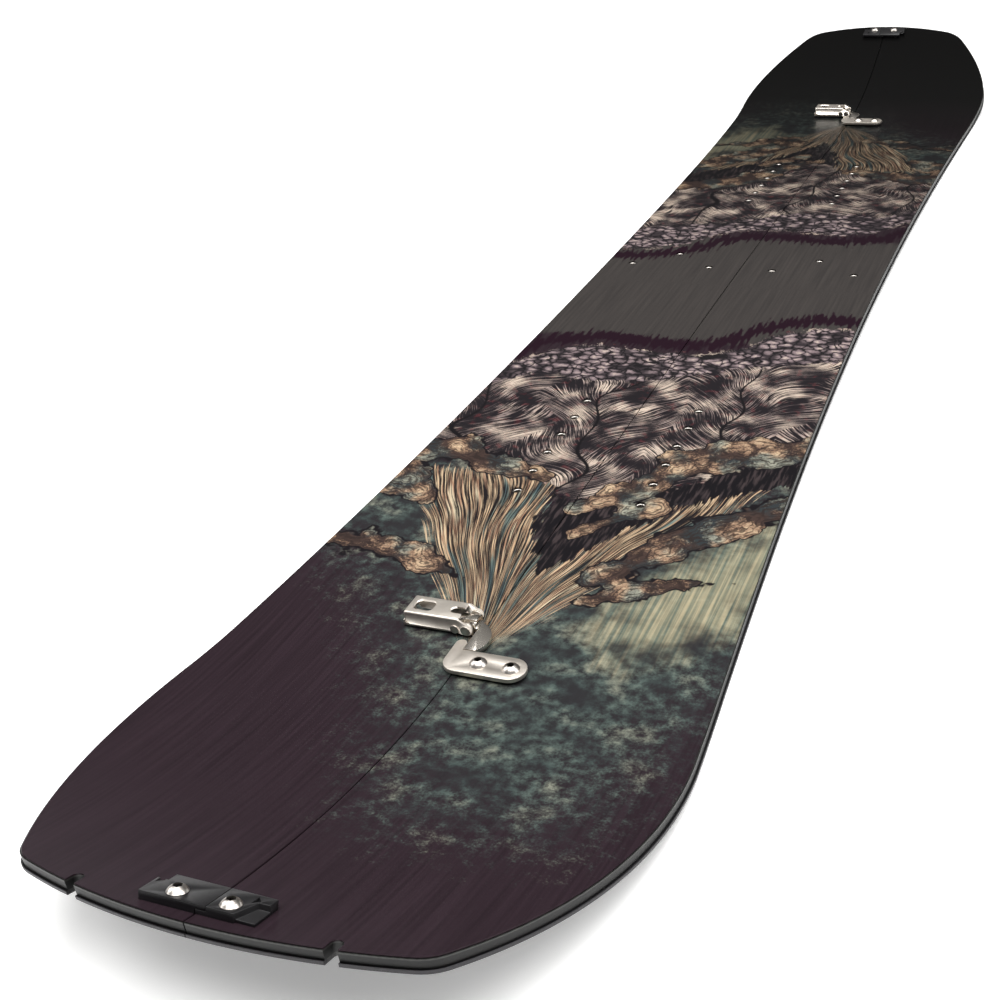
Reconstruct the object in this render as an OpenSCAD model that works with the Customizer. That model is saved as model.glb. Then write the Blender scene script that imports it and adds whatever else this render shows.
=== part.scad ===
// Splitboard: a snowboard sawn lengthwise into two halves that clip together for the descent.
// Frame: +Y runs from tail to nose, +X to the right, +Z up. The origin is at mid-length, on the
// seam between the halves, at the level of the two lines on which the base rests.

/* [Outline] */
// Overall length, tail tip to nose tip
length = 1526; // [1300:1:1840]
// Width at the waist, both halves together
waist_w = 245; // [204:1:275]
// Greatest width near the tail
tail_w = 284; // [280:1:340]
// Greatest width near the nose
nose_w = 284; // [280:1:340]
// Distance from the tail tip to the widest point near the tail
tail_reach = 166; // [140:1:200]
// Distance from the nose tip to the widest point near the nose
nose_reach = 170; // [140:1:205]
// How far the waist lies behind mid-length
waist_back = 32; // [0:1:60]
// Radius of the outline beside the tail
tail_side_r = 258; // [215:1:310]
// Radius of the tail's rounded corners
tail_corner_r = 20; // [14:1:60]
// Radius of the blunt tail end
tail_end_r = 290; // [240:1:350]
// Radius of the outline beside the nose
nose_side_r = 264; // [220:1:316]
// Radius of the nose's rounded corners
nose_corner_r = 38; // [14:1:60]
// Radius of the blunt nose end
nose_end_r = 305; // [250:1:366]
// Gap between the two closed halves
seam_gap = 0.4; // [0.3:0.05:1]

/* [Side profile] */
// Length of the upturned tail, from the contact line to the tip
tail_kick_len = 228; // [190:1:275]
// Rise of the base at the tail tip
tail_kick_h = 47.6; // [20:0.1:60]
// Length of the upturned nose, from the contact line to the tip
nose_kick_len = 252; // [210:1:303]
// Rise of the base at the nose tip
nose_kick_h = 57.7; // [20:0.1:70]
// Rise of the base between the two contact lines
camber_h = 4.2; // [1:0.1:8]

/* [Layers] */
// Thickness of the running base
base_t = 1.2; // [1:0.1:1.5]
// Height of the steel edge
edge_h = 2; // [1.8:0.1:2.4]
// Width of the steel edge
edge_w = 2; // [1.6:0.1:2.6]
// Thickness of the wood core
core_t = 4; // [3:0.1:6]
// Thickness of the glass laminate over the core
upper_laminate_t = 0.8; // [0.5:0.1:1.2]
// Thickness of the topsheet
topsheet_t = 0.7; // [0.5:0.1:1]
// How far the sidewall stands in from the steel edge
side_inset = 1; // [0.4:0.1:2]
// Width of the sidewall strips
sidewall_w = 6; // [4:0.1:9]
// How far the inner sidewall and the layers over it stand in from the sawn face
seam_inset = 0.1; // [0:0.05:1]
// How far the topsheet stands in from the sidewall
topsheet_inset = 0.6; // [0.3:0.1:1]
// Length of the tail tip spacer
tail_spacer_len = 150; // [125:1:180]
// Length of the nose tip spacer
nose_spacer_len = 165; // [137:1:198]

/* [Skin notches] */
// Distance of each tail notch from the seam
notch_x = 58; // [45:1:75]
// Width of a tail notch
notch_w = 5.4; // [4.6:0.1:8]
// Depth of a tail notch, from the tail tip
notch_depth = 14; // [11:0.5:20]

/* [Threaded inserts] */
// Bore of every insert, the tapping size of an M6 thread
insert_bore_d = 5; // [4:0.1:6]
// Diameter of an insert's barrel
insert_barrel_d = 9; // [7.5:0.1:11]
// Diameter of an insert's flange
insert_flange_d = 14; // [11.5:0.1:17]
// Thickness of an insert's flange
insert_flange_t = 1; // [0.6:0.1:1.4]
// Hole in the topsheet over each insert
topsheet_hole_d = 7; // [5.5:0.1:8.5]
// Glue gap round each insert
insert_glue = 0.1; // [0.05:0.05:0.2]
// How far the barrels end below the topsheet
insert_sink = 0.4; // [0.4:0.05:0.6]
// Distance between the two foot positions
stance = 582; // [480:1:700]
// How far the stance lies behind mid-length
stance_back = 11; // [0:1:30]
// Inserts in each foot row
insert_count = 6; // [4:1:7]
// Spacing of the inserts in a foot row
insert_pitch = 25.4; // [20:0.1:30.5]
// Distance of each foot row from the seam
insert_col = 41.3; // [34:0.1:50]
// How far outboard of the core's middle the touring bracket stands
touring_out = 2.1; // [0:0.1:3]
// Distance of the touring bracket's rear pair from mid-length
touring_y = 28; // [0:1:60]
// Spacing of the touring bracket's rear pair
touring_pair = 70; // [58:0.5:72]
// Distance from the rear pair to the single front insert
touring_apex = 29; // [24:0.5:35]

/* [Clips] */
// Distance between the middles of the two clips
clip_spacing = 1050; // [870:1:1100]
// Distance from the catch screws to the lever's middle, along the board
clip_row = 32.5; // [31:0.5:40]
// Thickness of the nylon pad under the clip base
pad_t = 1; // [0.6:0.1:1.6]
// Thickness of the clip base plate
plate_t = 1.2; // [1:0.1:1.6]
// Height of the lever's axle over the deck
axle_z = 4.6; // [4.4:0.1:6]
// Distance of the lever's axle from the seam
axle_x = 6.1; // [5.8:0.1:8]
// Diameter of the lever's axle
axle_d = 3.2; // [2.6:0.1:3.4]
// Offset of the hook pin from the axle, on the lever
hook_throw = 6.4; // [5.8:0.1:8]
// Diameter of the hook pin
hook_pin_d = 2.6; // [2:0.1:3]
// Radial clearance of a pin in a turning part
pin_fit = 0.05; // [0.02:0.01:0.1]
// Length of the lever from its free end to the axle
lever_len = 36.6; // [33:0.1:44]
// Width of the lever
lever_w = 16.6; // [16:0.1:20]
// Height of the lever's top over the deck
lever_top_z = 11; // [10.8:0.1:13]
// Thickness of the lever's metal
lever_t = 1.2; // [1:0.1:1.4]
// Gap between the lever's cheeks and the base ears
ear_gap = 0.2; // [0.15:0.05:0.4]
// Thickness of the base ears
ear_t = 1.5; // [1.2:0.1:2]
// Length of the window in the lever
window_l = 12; // [9:0.5:14]
// Width of the window in the lever
window_w = 9.6; // [7:0.1:10]
// Width of the hook's arm
arm_w = 5; // [4:0.1:6]
// Thickness of the hook's arm
arm_t = 1.6; // [1.2:0.1:1.8]
// Height of the hook and of the catch plate over the deck
catch_z = 2; // [1.8:0.1:2.6]
// Thickness of the catch plate and of the hook's plate
catch_t = 2.5; // [2:0.1:3]
// Width of the catch plate
catch_w = 18; // [16:0.5:22]
// Reach of the catch plate to the right of the seam
catch_reach = 39.3; // [38:0.1:48]
// Width of the catch plate's finger
finger_w = 6.1; // [5:0.1:8]
// Length of the finger beyond the catch plate's side
finger_l = 8; // [5:0.1:10]
// Gap between the finger and the closed hook
finger_gap = 0.3; // [0.3:0.05:0.5]
// Radius of the hook's rounded back
hook_r = 14.9; // [13:0.1:17]
// Distance of the first catch screw from the seam
catch_screw_x = 12.5; // [11:0.1:14]
// Spacing of the two catch screws
catch_screw_pitch = 18.4; // [15:0.1:19]
// Distance of the first base screw from the seam
base_screw_x = 22; // [21:0.1:24]
// Spacing of the two base screws
base_screw_pitch = 14; // [11:0.1:15]

/* [Screws] */
// Diameter of the screw shanks
screw_d = 4.8; // [3.8:0.1:4.9]
// Diameter of the clip screws' button heads
clip_head_d = 9.6; // [8:0.1:10.5]
// Diameter of the tip screws' button heads
tip_head_d = 8.8; // [7.5:0.1:10]
// Height of the button heads
head_h = 2.8; // [2.2:0.1:3.2]
// Width of the hexagonal sockets across their flats
socket_af = 3; // [2.5:0.1:3.5]

/* [Tip connectors] */
// Distance of each connector's middle from the tip
tip_in = 15; // [13:0.5:20]
// Height of the connector blocks over the deck
block_h = 4; // [3.2:0.1:5]
// Length of the connector blocks along the board
block_l = 16.5; // [14:0.5:20]
// Reach of each connector to either side of the seam
block_reach = 25.5; // [22:0.5:31]
// Distance of each connector screw from the seam
tip_screw_x = 12; // [10.5:0.1:14]
// How far the connector screws lie towards the tip from the block's middle
tip_screw_out = 2.5; // [0:0.1:3]
// Reach of the lip across the seam
lip_reach = 4.5; // [3:0.1:5]
// Thickness of the lip
lip_t = 1.8; // [1.2:0.1:2.2]
// Clearance under and beside the lip
lip_gap = 0.3; // [0.3:0.05:0.5]

/* [Hidden] */

LEFT = -1;
RIGHT = 1;
TAIL = -1;
NOSE = 1;
$fn = 48;
fine_fn = 96;

// Steps along each arc of the outline and of the side profile
side_steps = 8;
corner_steps = 8;
end_steps = 6;
sidecut_steps = 8;
kick_steps = 12;
camber_steps = 14;

// Place of the sawn face, and of the inner faces of the inner sidewall and of the core
seam_x = seam_gap / 2;
inner_face = seam_x + seam_inset;
inner_core = inner_face + sidewall_w;

// Heights of the layers, square to the base
core_low = edge_h;
core_top = core_low + core_t;
laminate_top = core_top + upper_laminate_t;
thickness = laminate_top + topsheet_t;

// Side profile of the base
tail_contact = -length / 2 + tail_kick_len;
nose_contact = length / 2 - nose_kick_len;
contact_mid = (tail_contact + nose_contact) / 2;
contact_half = (nose_contact - tail_contact) / 2;

function base_z(y) =
    y < tail_contact ? tail_kick_h * pow((tail_contact - y) / tail_kick_len, 2)
    : y > nose_contact ? nose_kick_h * pow((y - nose_contact) / nose_kick_len, 2)
    : camber_h * pow(1 - pow((y - contact_mid) / contact_half, 2), 2);

function base_slope(y) =
    y < tail_contact ? -2 * tail_kick_h * (tail_contact - y) / pow(tail_kick_len, 2)
    : y > nose_contact ? 2 * nose_kick_h * (y - nose_contact) / pow(nose_kick_len, 2)
    : let (u = (y - contact_mid) / contact_half)
        -4 * camber_h * u * (1 - u * u) / contact_half;

// Point at height h over the base, measured square to it, above station y
function lifted(y, h) =
    let (m = base_slope(y), s = sqrt(1 + m * m))
        [y - h * m / s, base_z(y) + h / s];

// Station whose deck point lies over the given y
function deck_station(y) =
    let (m = base_slope(y), first = y + thickness * m / sqrt(1 + m * m), n = base_slope(first))
        y + thickness * n / sqrt(1 + n * n);

function deck_z(y) = lifted(deck_station(y), thickness)[1];

stations = concat(
    [for (i = [kick_steps + 1:-1:1]) tail_contact - tail_kick_len * i / kick_steps],
    [for (i = [0:camber_steps]) tail_contact + 2 * contact_half * i / camber_steps],
    [for (i = [1:kick_steps + 1]) nose_contact + nose_kick_len * i / kick_steps]);
last_station = len(stations) - 1;

// Outline of the right half: tangent arcs, all drawn e inside the board's rim
function arc(c, r, from, to, steps, first = 0) =
    [for (i = [first:steps]) let (a = from + (to - from) * i / steps) c + r * [cos(a), sin(a)]];

function direction(v) = atan2(v[1], v[0]);

// Centre of the corner arc that touches the side arc and the end arc
function corner_centre(side_c, end_c, to_side, to_end) =
    let (d = norm(end_c - side_c),
        along = (to_side * to_side - to_end * to_end + d * d) / (2 * d),
        off = sqrt(to_side * to_side - along * along),
        u = (end_c - side_c) / d)
        side_c + along * u + off * [-u[1], u[0]];

// One tip, as [distance from the seam, distance beyond the widest point], ending at the seam.
// Its radii are those of the side, of the corner and of the end.
function tip_curve(half_w, reach, radii, blend, e) =
    let (side_r = radii[0],
        corner_r = radii[1],
        end_r = radii[2],
        side_c = [half_w - side_r, 0],
        end_c = [0, reach - end_r],
        corner_c = corner_centre(side_c, end_c, side_r - corner_r, end_r - corner_r),
        a1 = direction(corner_c - side_c),
        a2 = direction(corner_c - end_c))
        concat(arc(side_c, side_r - e, -blend, a1, side_steps),
            arc(corner_c, corner_r - e, a1, a2, corner_steps, 1),
            arc(end_c, end_r - e, a2, acos(seam_x / (end_r - e)), end_steps, 1));

waist_y = -waist_back;
tail_wide_y = -length / 2 + tail_reach;
nose_wide_y = length / 2 - nose_reach;

// Sidecut: an arc that touches the waist line and the tip's side arc
function sidecut_sum(half_w, run) =
    let (flare = half_w - waist_w / 2)
        (run * run + flare * flare) / (2 * flare);
tail_sum = sidecut_sum(tail_w / 2, waist_y - tail_wide_y);
nose_sum = sidecut_sum(nose_w / 2, nose_wide_y - waist_y);
tail_blend = asin((waist_y - tail_wide_y) / tail_sum);
nose_blend = asin((nose_wide_y - waist_y) / nose_sum);

function sidecut_point(r, e, a) =
    [waist_w / 2 + r - (r + e) * cos(a), waist_y + (r + e) * sin(a)];

function reversed(p) = [for (i = [len(p) - 1:-1:0]) p[i]];

function outline(e) =
    let (tail = tip_curve(tail_w / 2, tail_reach,
            [tail_side_r, tail_corner_r, tail_end_r], tail_blend, e),
        nose = tip_curve(nose_w / 2, nose_reach,
            [nose_side_r, nose_corner_r, nose_end_r], nose_blend, e))
        concat([for (p = reversed(tail)) [p[0], tail_wide_y - p[1]]],
            [for (i = [sidecut_steps - 1:-1:0])
                sidecut_point(tail_sum - tail_side_r, e, -tail_blend * i / sidecut_steps)],
            [for (i = [1:sidecut_steps - 1])
                sidecut_point(nose_sum - nose_side_r, e, nose_blend * i / sidecut_steps)],
            [for (p = nose) [p[0], nose_wide_y + p[1]]]);

// Clip frames: x from the seam, y from the clip's middle, z from the deck's chord under the clip
clip_half = 25;
catch_y = -clip_row / 2;
lever_y = clip_row / 2;
function clip_y(end) = end * clip_spacing / 2;
function clip_tilt(end) =
    atan((deck_z(clip_y(end) + clip_half) - deck_z(clip_y(end) - clip_half)) / (2 * clip_half));
function clip_z(end) = (deck_z(clip_y(end) + clip_half) + deck_z(clip_y(end) - clip_half)) / 2;

plate_z = pad_t + plate_t;
ear_out = lever_w / 2 - lever_t - ear_gap;
ear_r = axle_d / 2 + 1.6;
cheek_r = 3.4;
cheek_low = 3.2;
eye_r = hook_pin_d / 2 + 0.9;
arm_low = axle_z + axle_d / 2 + finger_gap;
arm_top = arm_low + arm_t;
leg_gap = 0.5;
leg_x = -axle_x + axle_d / 2 + leg_gap;
leg_t = 2.2;
leg_w = 10;
plate_end = 4.4;
slot_l = 7.6;
plate_end_x = -axle_x - plate_end;
pin_head_r = 1.2;
pin_head_t = 0.7;
spacer_margin = 1.2;

// Size beyond the whole board, how far cutters run past what they cut, and how deep the
// hardware is drawn below the deck before the part under the deck is cut away
big = 400;
cut_past = 1;
sunk = 3;

module at_clip(end) {
    translate([0, clip_y(end), clip_z(end)])
        rotate([clip_tilt(end), 0, 0])
            children();
}

// Tip frame: y points inboard from the connector's middle, z square to the deck
module at_tip(end) {
    station = deck_station(end * (length / 2 - tip_in));
    point = lifted(station, thickness);
    translate([0, point[0], point[1]])
        rotate([atan(base_slope(station)), 0, 0])
            rotate([0, 0, end == NOSE ? 180 : 0])
                children();
}

// Places for the threaded inserts of one half, each in its own local frame on the deck
module on_deck(x, y) {
    translate([x, y, deck_z(y)])
        children();
}

module at_foot_inserts(side) {
    for (foot = [TAIL, NOSE])
        for (i = [0:insert_count - 1])
            on_deck(side * insert_col,
                foot * stance / 2 - stance_back + (i - (insert_count - 1) / 2) * insert_pitch)
                children();
}

module at_touring_inserts(side) {
    touring_x = (inner_core + waist_w / 2 - side_inset - sidewall_w) / 2 + touring_out;
    for (x = [-touring_pair / 2, touring_pair / 2])
        on_deck(side * touring_x + x, touring_y)
            children();
    on_deck(side * touring_x, touring_y + touring_apex)
        children();
}

// The two base screws stay apart by at least the width of their inserts' pockets and a thin wall
module at_base_screws() {
    step = max(base_screw_pitch, insert_flange_d + 4 * insert_glue);
    for (s = [-1, 1])
        translate([-base_screw_x - base_screw_pitch / 2 + s * step / 2, lever_y, 0])
            children();
}

module at_catch_screws() {
    for (i = [0, 1])
        translate([catch_screw_x + i * catch_screw_pitch, catch_y, 0])
            children();
}

// Side of the seam, in a tip frame: the nose connector is the tail connector turned round
module at_tip_screw(side, end) {
    translate([side * (end == NOSE ? -1 : 1) * tip_screw_x, -tip_screw_out, 0])
        children();
}

module at_tip_inserts(side) {
    for (end = [TAIL, NOSE])
        at_tip(end)
            at_tip_screw(side, end)
                children();
}

module at_inserts(side) {
    at_foot_inserts(side) children();
    at_touring_inserts(side) children();
    for (end = [TAIL, NOSE])
        at_clip(end) {
            if (side == LEFT)
                at_base_screws() children();
            else
                at_catch_screws() children();
        }
    at_tip_inserts(side) children();
}

// One threaded insert: flange at the bottom of the core, barrel up to the topsheet
insert_low = -(thickness - core_low) + 2 * insert_glue;
insert_top = -topsheet_t - insert_sink;

module insert() {
    difference() {
        translate([0, 0, insert_low])
            union() {
                cylinder(d = insert_flange_d, h = insert_flange_t);
                cylinder(d = insert_barrel_d, h = insert_top - insert_low);
            }
        translate([0, 0, insert_low - cut_past])
            cylinder(d = insert_bore_d, h = thickness);
    }
}

// Cutter for the glue pocket round one insert, open at the bottom of the core and at the top
module insert_pocket() {
    translate([0, 0, insert_low - cut_past])
        cylinder(d = insert_flange_d + 2 * insert_glue, h = cut_past + insert_flange_t + insert_glue);
    translate([0, 0, insert_low])
        cylinder(d = insert_barrel_d + 2 * insert_glue, h = thickness);
}

// Slab between two heights over the base, as wide as both halves
module slab(low, high) {
    rotate([90, 0, 90])
        linear_extrude(big, center = true)
            polygon(concat([for (y = stations) lifted(y, low)],
                [for (i = [last_station:-1:0]) lifted(stations[i], high)]));
}

module half(side) {
    if (side == LEFT)
        mirror([1, 0, 0]) children();
    else
        children();
}

module notch_cut() {
    translate([notch_x - notch_w / 2, -length / 2 - cut_past, -big / 2])
        cube([notch_w, cut_past + notch_depth - notch_w / 2, big]);
    translate([notch_x, -length / 2 + notch_depth - notch_w / 2, -big / 2])
        cylinder(d = notch_w, h = big);
}

// Everything of the right half that lies e inside the rim
module board_plan(e) {
    translate([0, 0, -big / 2])
        linear_extrude(big)
            polygon(outline(e));
}

// Layer of one half between two heights, standing e inside the rim and inner from the seam
module layer(side, low, high, e, inner) {
    half(side)
        difference() {
            intersection() {
                slab(low, high);
                board_plan(e);
                strip_between(inner, big);
            }
            notch_cut();
        }
}

// Strip along the outer rim of one half, between two insets from the rim
module rim(low, high, outer_e, inner_e) {
    intersection() {
        slab(low, high);
        translate([0, 0, -big / 2])
            linear_extrude(big)
                polygon(concat(outline(outer_e), reversed(outline(inner_e))));
    }
}

// Everything of one half beyond y, towards the nose for NOSE and towards the tail for TAIL
module beyond(y, end) {
    translate([-big / 2, end == NOSE ? y : y - length, -big / 2])
        cube([big, length, big]);
}

module strip_between(from_x, to_x) {
    translate([from_x, -length, -big / 2])
        cube([to_x - from_x, 2 * length, big]);
}

tail_core_y = -length / 2 + tail_spacer_len;
nose_core_y = length / 2 - nose_spacer_len;

// --- Layers of the board ---

module topsheet(side) {
    color("#3a3438")
        difference() {
            layer(side, laminate_top, thickness, side_inset + topsheet_inset, inner_face);
            at_inserts(side)
                translate([0, 0, -topsheet_t - cut_past])
                    cylinder(d = topsheet_hole_d, h = topsheet_t + 2 * cut_past);
        }
}

module upper_laminate(side) {
    color("#8d9a86")
        difference() {
            layer(side, core_top, laminate_top, side_inset, inner_face);
            at_inserts(side) insert_pocket();
        }
}

module core(side) {
    color("#c9a36a")
        difference() {
            layer(side, core_low, core_top, side_inset + sidewall_w, inner_core);
            beyond(tail_core_y, TAIL);
            beyond(nose_core_y, NOSE);
            at_inserts(side) insert_pocket();
        }
}

module outer_sidewall(side) {
    color("#1b1a1b")
        half(side)
            difference() {
                rim(core_low, core_top, side_inset, side_inset + sidewall_w);
                beyond(tail_core_y, TAIL);
                beyond(nose_core_y, NOSE);
            }
}

module inner_sidewall(side) {
    color("#1b1a1b")
        difference() {
            half(side)
                intersection() {
                    slab(core_low, core_top);
                    strip_between(inner_face, inner_core);
                }
            beyond(tail_core_y, TAIL);
            beyond(nose_core_y, NOSE);
            at_inserts(side) insert_pocket();
        }
}

module tip_spacer(side, end) {
    color("#232124")
        difference() {
            intersection() {
                layer(side, core_low, core_top, side_inset, inner_face);
                beyond(end == NOSE ? nose_core_y : tail_core_y, end);
            }
            at_tip_inserts(side) insert_pocket();
        }
}

module lower_laminate(side) {
    color("#8d9a86")
        layer(side, base_t, edge_h, edge_w, seam_x + edge_w);
}

module base(side) {
    color("#19181a")
        layer(side, 0, base_t, edge_w, seam_x + edge_w);
}

module outer_edge(side) {
    color("#6b6a6c")
        half(side)
            difference() {
                rim(0, edge_h, 0, edge_w);
                translate([-big, -length / 2 - cut_past, -big / 2])
                    cube([big + notch_x + notch_w / 2, notch_depth + cut_past, big]);
            }
}

// Short piece of edge across the tail, between the seam and the notch
module tail_edge(side) {
    color("#6b6a6c")
        half(side)
            intersection() {
                rim(0, edge_h, 0, edge_w);
                translate([0, -length / 2 - cut_past, -big / 2])
                    cube([notch_x - notch_w / 2, notch_depth + cut_past, big]);
            }
}

module inner_edge(side) {
    color("#6b6a6c")
        half(side)
            intersection() {
                slab(0, edge_h);
                board_plan(edge_w);
                strip_between(seam_x, seam_x + edge_w);
            }
}

module inserts(side) {
    color("#b9b4ae")
        at_inserts(side) insert();
}

// --- Screws ---

// Rounding left off the top of a button head, and the floor of its socket as a part of its height
head_flat = 0.2;
socket_floor = 0.4;

// Button head with a hexagonal socket, standing on z = 0
module button_head(d) {
    ball_r = (d * d / 4 + head_h * head_h) / (2 * head_h);
    difference() {
        intersection() {
            translate([0, 0, head_h - ball_r])
                sphere(r = ball_r, $fn = fine_fn);
            cylinder(d = d, h = head_h - head_flat);
        }
        translate([0, 0, head_h * socket_floor])
            cylinder(d = socket_af / cos(30), h = head_h, $fn = 6);
    }
}

// Screw whose head seats at height seat over the deck
module screw(seat, d) {
    shank_low = insert_low + insert_flange_t;
    color("#d8d3cd") {
        translate([0, 0, seat])
            button_head(d);
        translate([0, 0, shank_low])
            cylinder(d = screw_d, h = seat - shank_low);
    }
}

// --- Clips: the left half carries the lever and the hook, the right half the catch plate ---

// The base runs on past the lever's free end, where it is turned up into a lip
base_past = 1.4;
base_lip_h = 2.2;
base_lip_t = 0.9;
base_end_x = -axle_x - lever_len - base_past;
plate_right = -axle_x + ear_r;
clearance_d = screw_d + 0.4;

module clip_pad(end) {
    color("#1d1c1e")
        difference() {
            at_clip(end)
                difference() {
                    translate([base_end_x, lever_y - ear_out, -sunk])
                        cube([plate_right - base_end_x, 2 * ear_out, sunk + pad_t]);
                    at_base_screws()
                        translate([0, 0, -sunk - cut_past])
                            cylinder(d = clearance_d, h = sunk + pad_t + 2 * cut_past);
                }
            slab(0, thickness);
        }
}

module ear_profile() {
    difference() {
        union() {
            translate([-axle_x, axle_z])
                circle(r = ear_r);
            translate([-axle_x - ear_r, pad_t])
                square([2 * ear_r, axle_z - pad_t]);
        }
        translate([-axle_x, axle_z])
            circle(r = axle_d / 2 + pin_fit);
    }
}

// Extrudes an x, z profile along the board, from y to y + width
module across(y, width) {
    translate([0, y + width, 0])
        rotate([90, 0, 0])
            linear_extrude(width)
                children();
}

module clip_base(end) {
    color("#b9b3ac")
        at_clip(end) {
            difference() {
                translate([base_end_x, lever_y - ear_out, pad_t])
                    cube([leg_x - ear_gap - base_end_x, 2 * ear_out, plate_t]);
                at_base_screws()
                    cylinder(d = clearance_d, h = plate_z + cut_past);
            }
            translate([base_end_x, lever_y - ear_out, plate_z])
                cube([base_lip_t, 2 * ear_out, base_lip_h]);
            for (y = [lever_y - ear_out, lever_y + ear_out - ear_t])
                across(y, ear_t)
                    ear_profile();
        }
}

module clip_base_screws(end) {
    at_clip(end)
        at_base_screws()
            screw(plate_z, clip_head_d);
}

module lever_axle(end) {
    color("#d8d3cd")
        at_clip(end)
            pin(-axle_x, axle_d / 2);
}

module hook_pin(end) {
    color("#d8d3cd")
        at_clip(end)
            pin(-axle_x - hook_throw, hook_pin_d / 2);
}

// Pin across the lever with a riveted head outside each cheek, clear of it by pin_play
pin_play = 0.1;
module pin(x, r) {
    reach = lever_w / 2 + pin_play;
    translate([x, lever_y, axle_z])
        rotate([90, 0, 0]) {
            cylinder(r = r, h = 2 * (reach + pin_play), center = true);
            for (s = [-1, 1])
                translate([0, 0, s * (reach + pin_head_t / 2)])
                    cylinder(r = r + pin_head_r, h = pin_head_t, center = true);
        }
}

// Side view of the lever: a long cheek with a rounded end round the axle. Its lower corner is
// cut off at the free end, and behind the hook's pin it steps down to the axle's end.
cheek_cut = 3;
cheek_heel = 4;
module cheek_profile() {
    difference() {
        union() {
            translate([-axle_x, axle_z])
                circle(r = cheek_r);
            polygon([[-axle_x, axle_z - cheek_r],
                [-axle_x, axle_z + cheek_r],
                [plate_end_x, lever_top_z],
                [-axle_x - lever_len, lever_top_z],
                [-axle_x - lever_len, cheek_low + cheek_cut],
                [-axle_x - lever_len + cheek_cut, cheek_low],
                [-axle_x - hook_throw - cheek_heel, cheek_low]]);
        }
        translate([-axle_x, axle_z])
            circle(r = axle_d / 2 + pin_fit);
        translate([-axle_x - hook_throw, axle_z])
            circle(r = hook_pin_d / 2 + pin_fit);
    }
}

// Margin and corner radius of the window, and play of the arm in its slot
window_margin = 3.2;
slot_play = 0.4;

module lever(end) {
    free_end = -axle_x - lever_len;
    color("#cfc8c0")
        at_clip(end) {
            for (y = [lever_y - lever_w / 2, lever_y + lever_w / 2 - lever_t])
                across(y, lever_t)
                    cheek_profile();
            difference() {
                translate([free_end, lever_y - lever_w / 2, lever_top_z - lever_t])
                    cube([plate_end_x - free_end, lever_w, lever_t]);
                translate([0, lever_y, lever_top_z - lever_t - cut_past]) {
                    linear_extrude(lever_t + 2 * cut_past)
                        rounded_box(free_end + window_margin, window_l, window_w, window_margin);
                    linear_extrude(lever_t + 2 * cut_past)
                        slot_plan(plate_end_x - slot_l, slot_l + cut_past, arm_w + 2 * slot_play);
                }
            }
            translate([free_end, lever_y - lever_w / 2, cheek_low + cheek_cut])
                cube([lever_t, lever_w, lever_top_z - cheek_low - cheek_cut]);
        }
}

// Slot from x to x + l with a round end at x, centred on y = 0
module slot_plan(x, l, w) {
    translate([x + w / 2, 0])
        circle(d = w);
    translate([x + w / 2, -w / 2])
        square([l - w / 2, w]);
}

// Rounded rectangle from x to x + l, centred on y = 0
module rounded_box(x, l, w, r) {
    translate([x + r, -w / 2])
        square([l - 2 * r, w]);
    translate([x, -w / 2 + r])
        square([l, w - 2 * r]);
    for (cx = [x + r, x + l - r])
        for (cy = [-w / 2 + r, w / 2 - r])
            translate([cx, cy])
                circle(r = r);
}

// Side view of the hook's arm: an eye on the pin, up and over the axle, and down again.
// The throat is cut back under the eye, and the arm's corners are eased.
throat = 0.4;
arm_ease = 0.6;
arm_step = 0.8;
arm_back = [0.2, 1.2];
arm_shoulder = 1.4;
module arm_profile() {
    pin_x = -axle_x - hook_throw;
    difference() {
        union() {
            translate([pin_x, axle_z])
                circle(r = eye_r);
            polygon([[pin_x - eye_r, axle_z],
                [pin_x + throat, axle_z - throat],
                [pin_x + eye_r, axle_z + arm_ease],
                [pin_x + eye_r + arm_step, arm_low],
                [leg_x + leg_t, arm_low],
                [leg_x + leg_t, arm_top - arm_ease],
                [leg_x + leg_t - arm_ease, arm_top],
                [pin_x + arm_shoulder, arm_top],
                [pin_x - eye_r + arm_back[0], axle_z + arm_back[1]]]);
        }
        translate([pin_x, axle_z])
            circle(r = hook_pin_d / 2 + pin_fit);
    }
}

// The finger stands back from the seam, and the hook's blade starts beside it. The blade's round
// nose is centred inboard of its flat side, a little short of midway between catch and leg.
finger_back = 0.6;
blade_gap = 0.5;
blade_short = 1.5;
blade_in = 4.6;

// How far the leg runs up into the arm, and how far and how wide the blade laps onto the leg
leg_lap = 0.2;
bridge_in = 1;
bridge_y = 0.8;
hook_low_y = catch_y + catch_w / 2 + blade_gap;
hook_mid_y = (hook_low_y + lever_y) / 2 - blade_short;

module hook(end) {
    inner_x = finger_gap - finger_back;
    color("#d8d3cd")
        at_clip(end) {
            across(lever_y - arm_w / 2, arm_w)
                arm_profile();
            translate([leg_x, lever_y - leg_w / 2, catch_z])
                cube([leg_t, leg_w, arm_low + leg_lap - catch_z]);
            translate([0, 0, catch_z])
                linear_extrude(catch_t)
                    union() {
                        intersection() {
                            translate([inner_x - blade_in, hook_mid_y])
                                circle(r = hook_r, $fn = fine_fn);
                            translate([inner_x, hook_low_y])
                                square(2 * hook_r);
                        }
                        translate([leg_x, lever_y - leg_w / 2])
                            square([inner_x + bridge_in - leg_x, leg_w * bridge_y]);
                    }
        }
}

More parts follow.
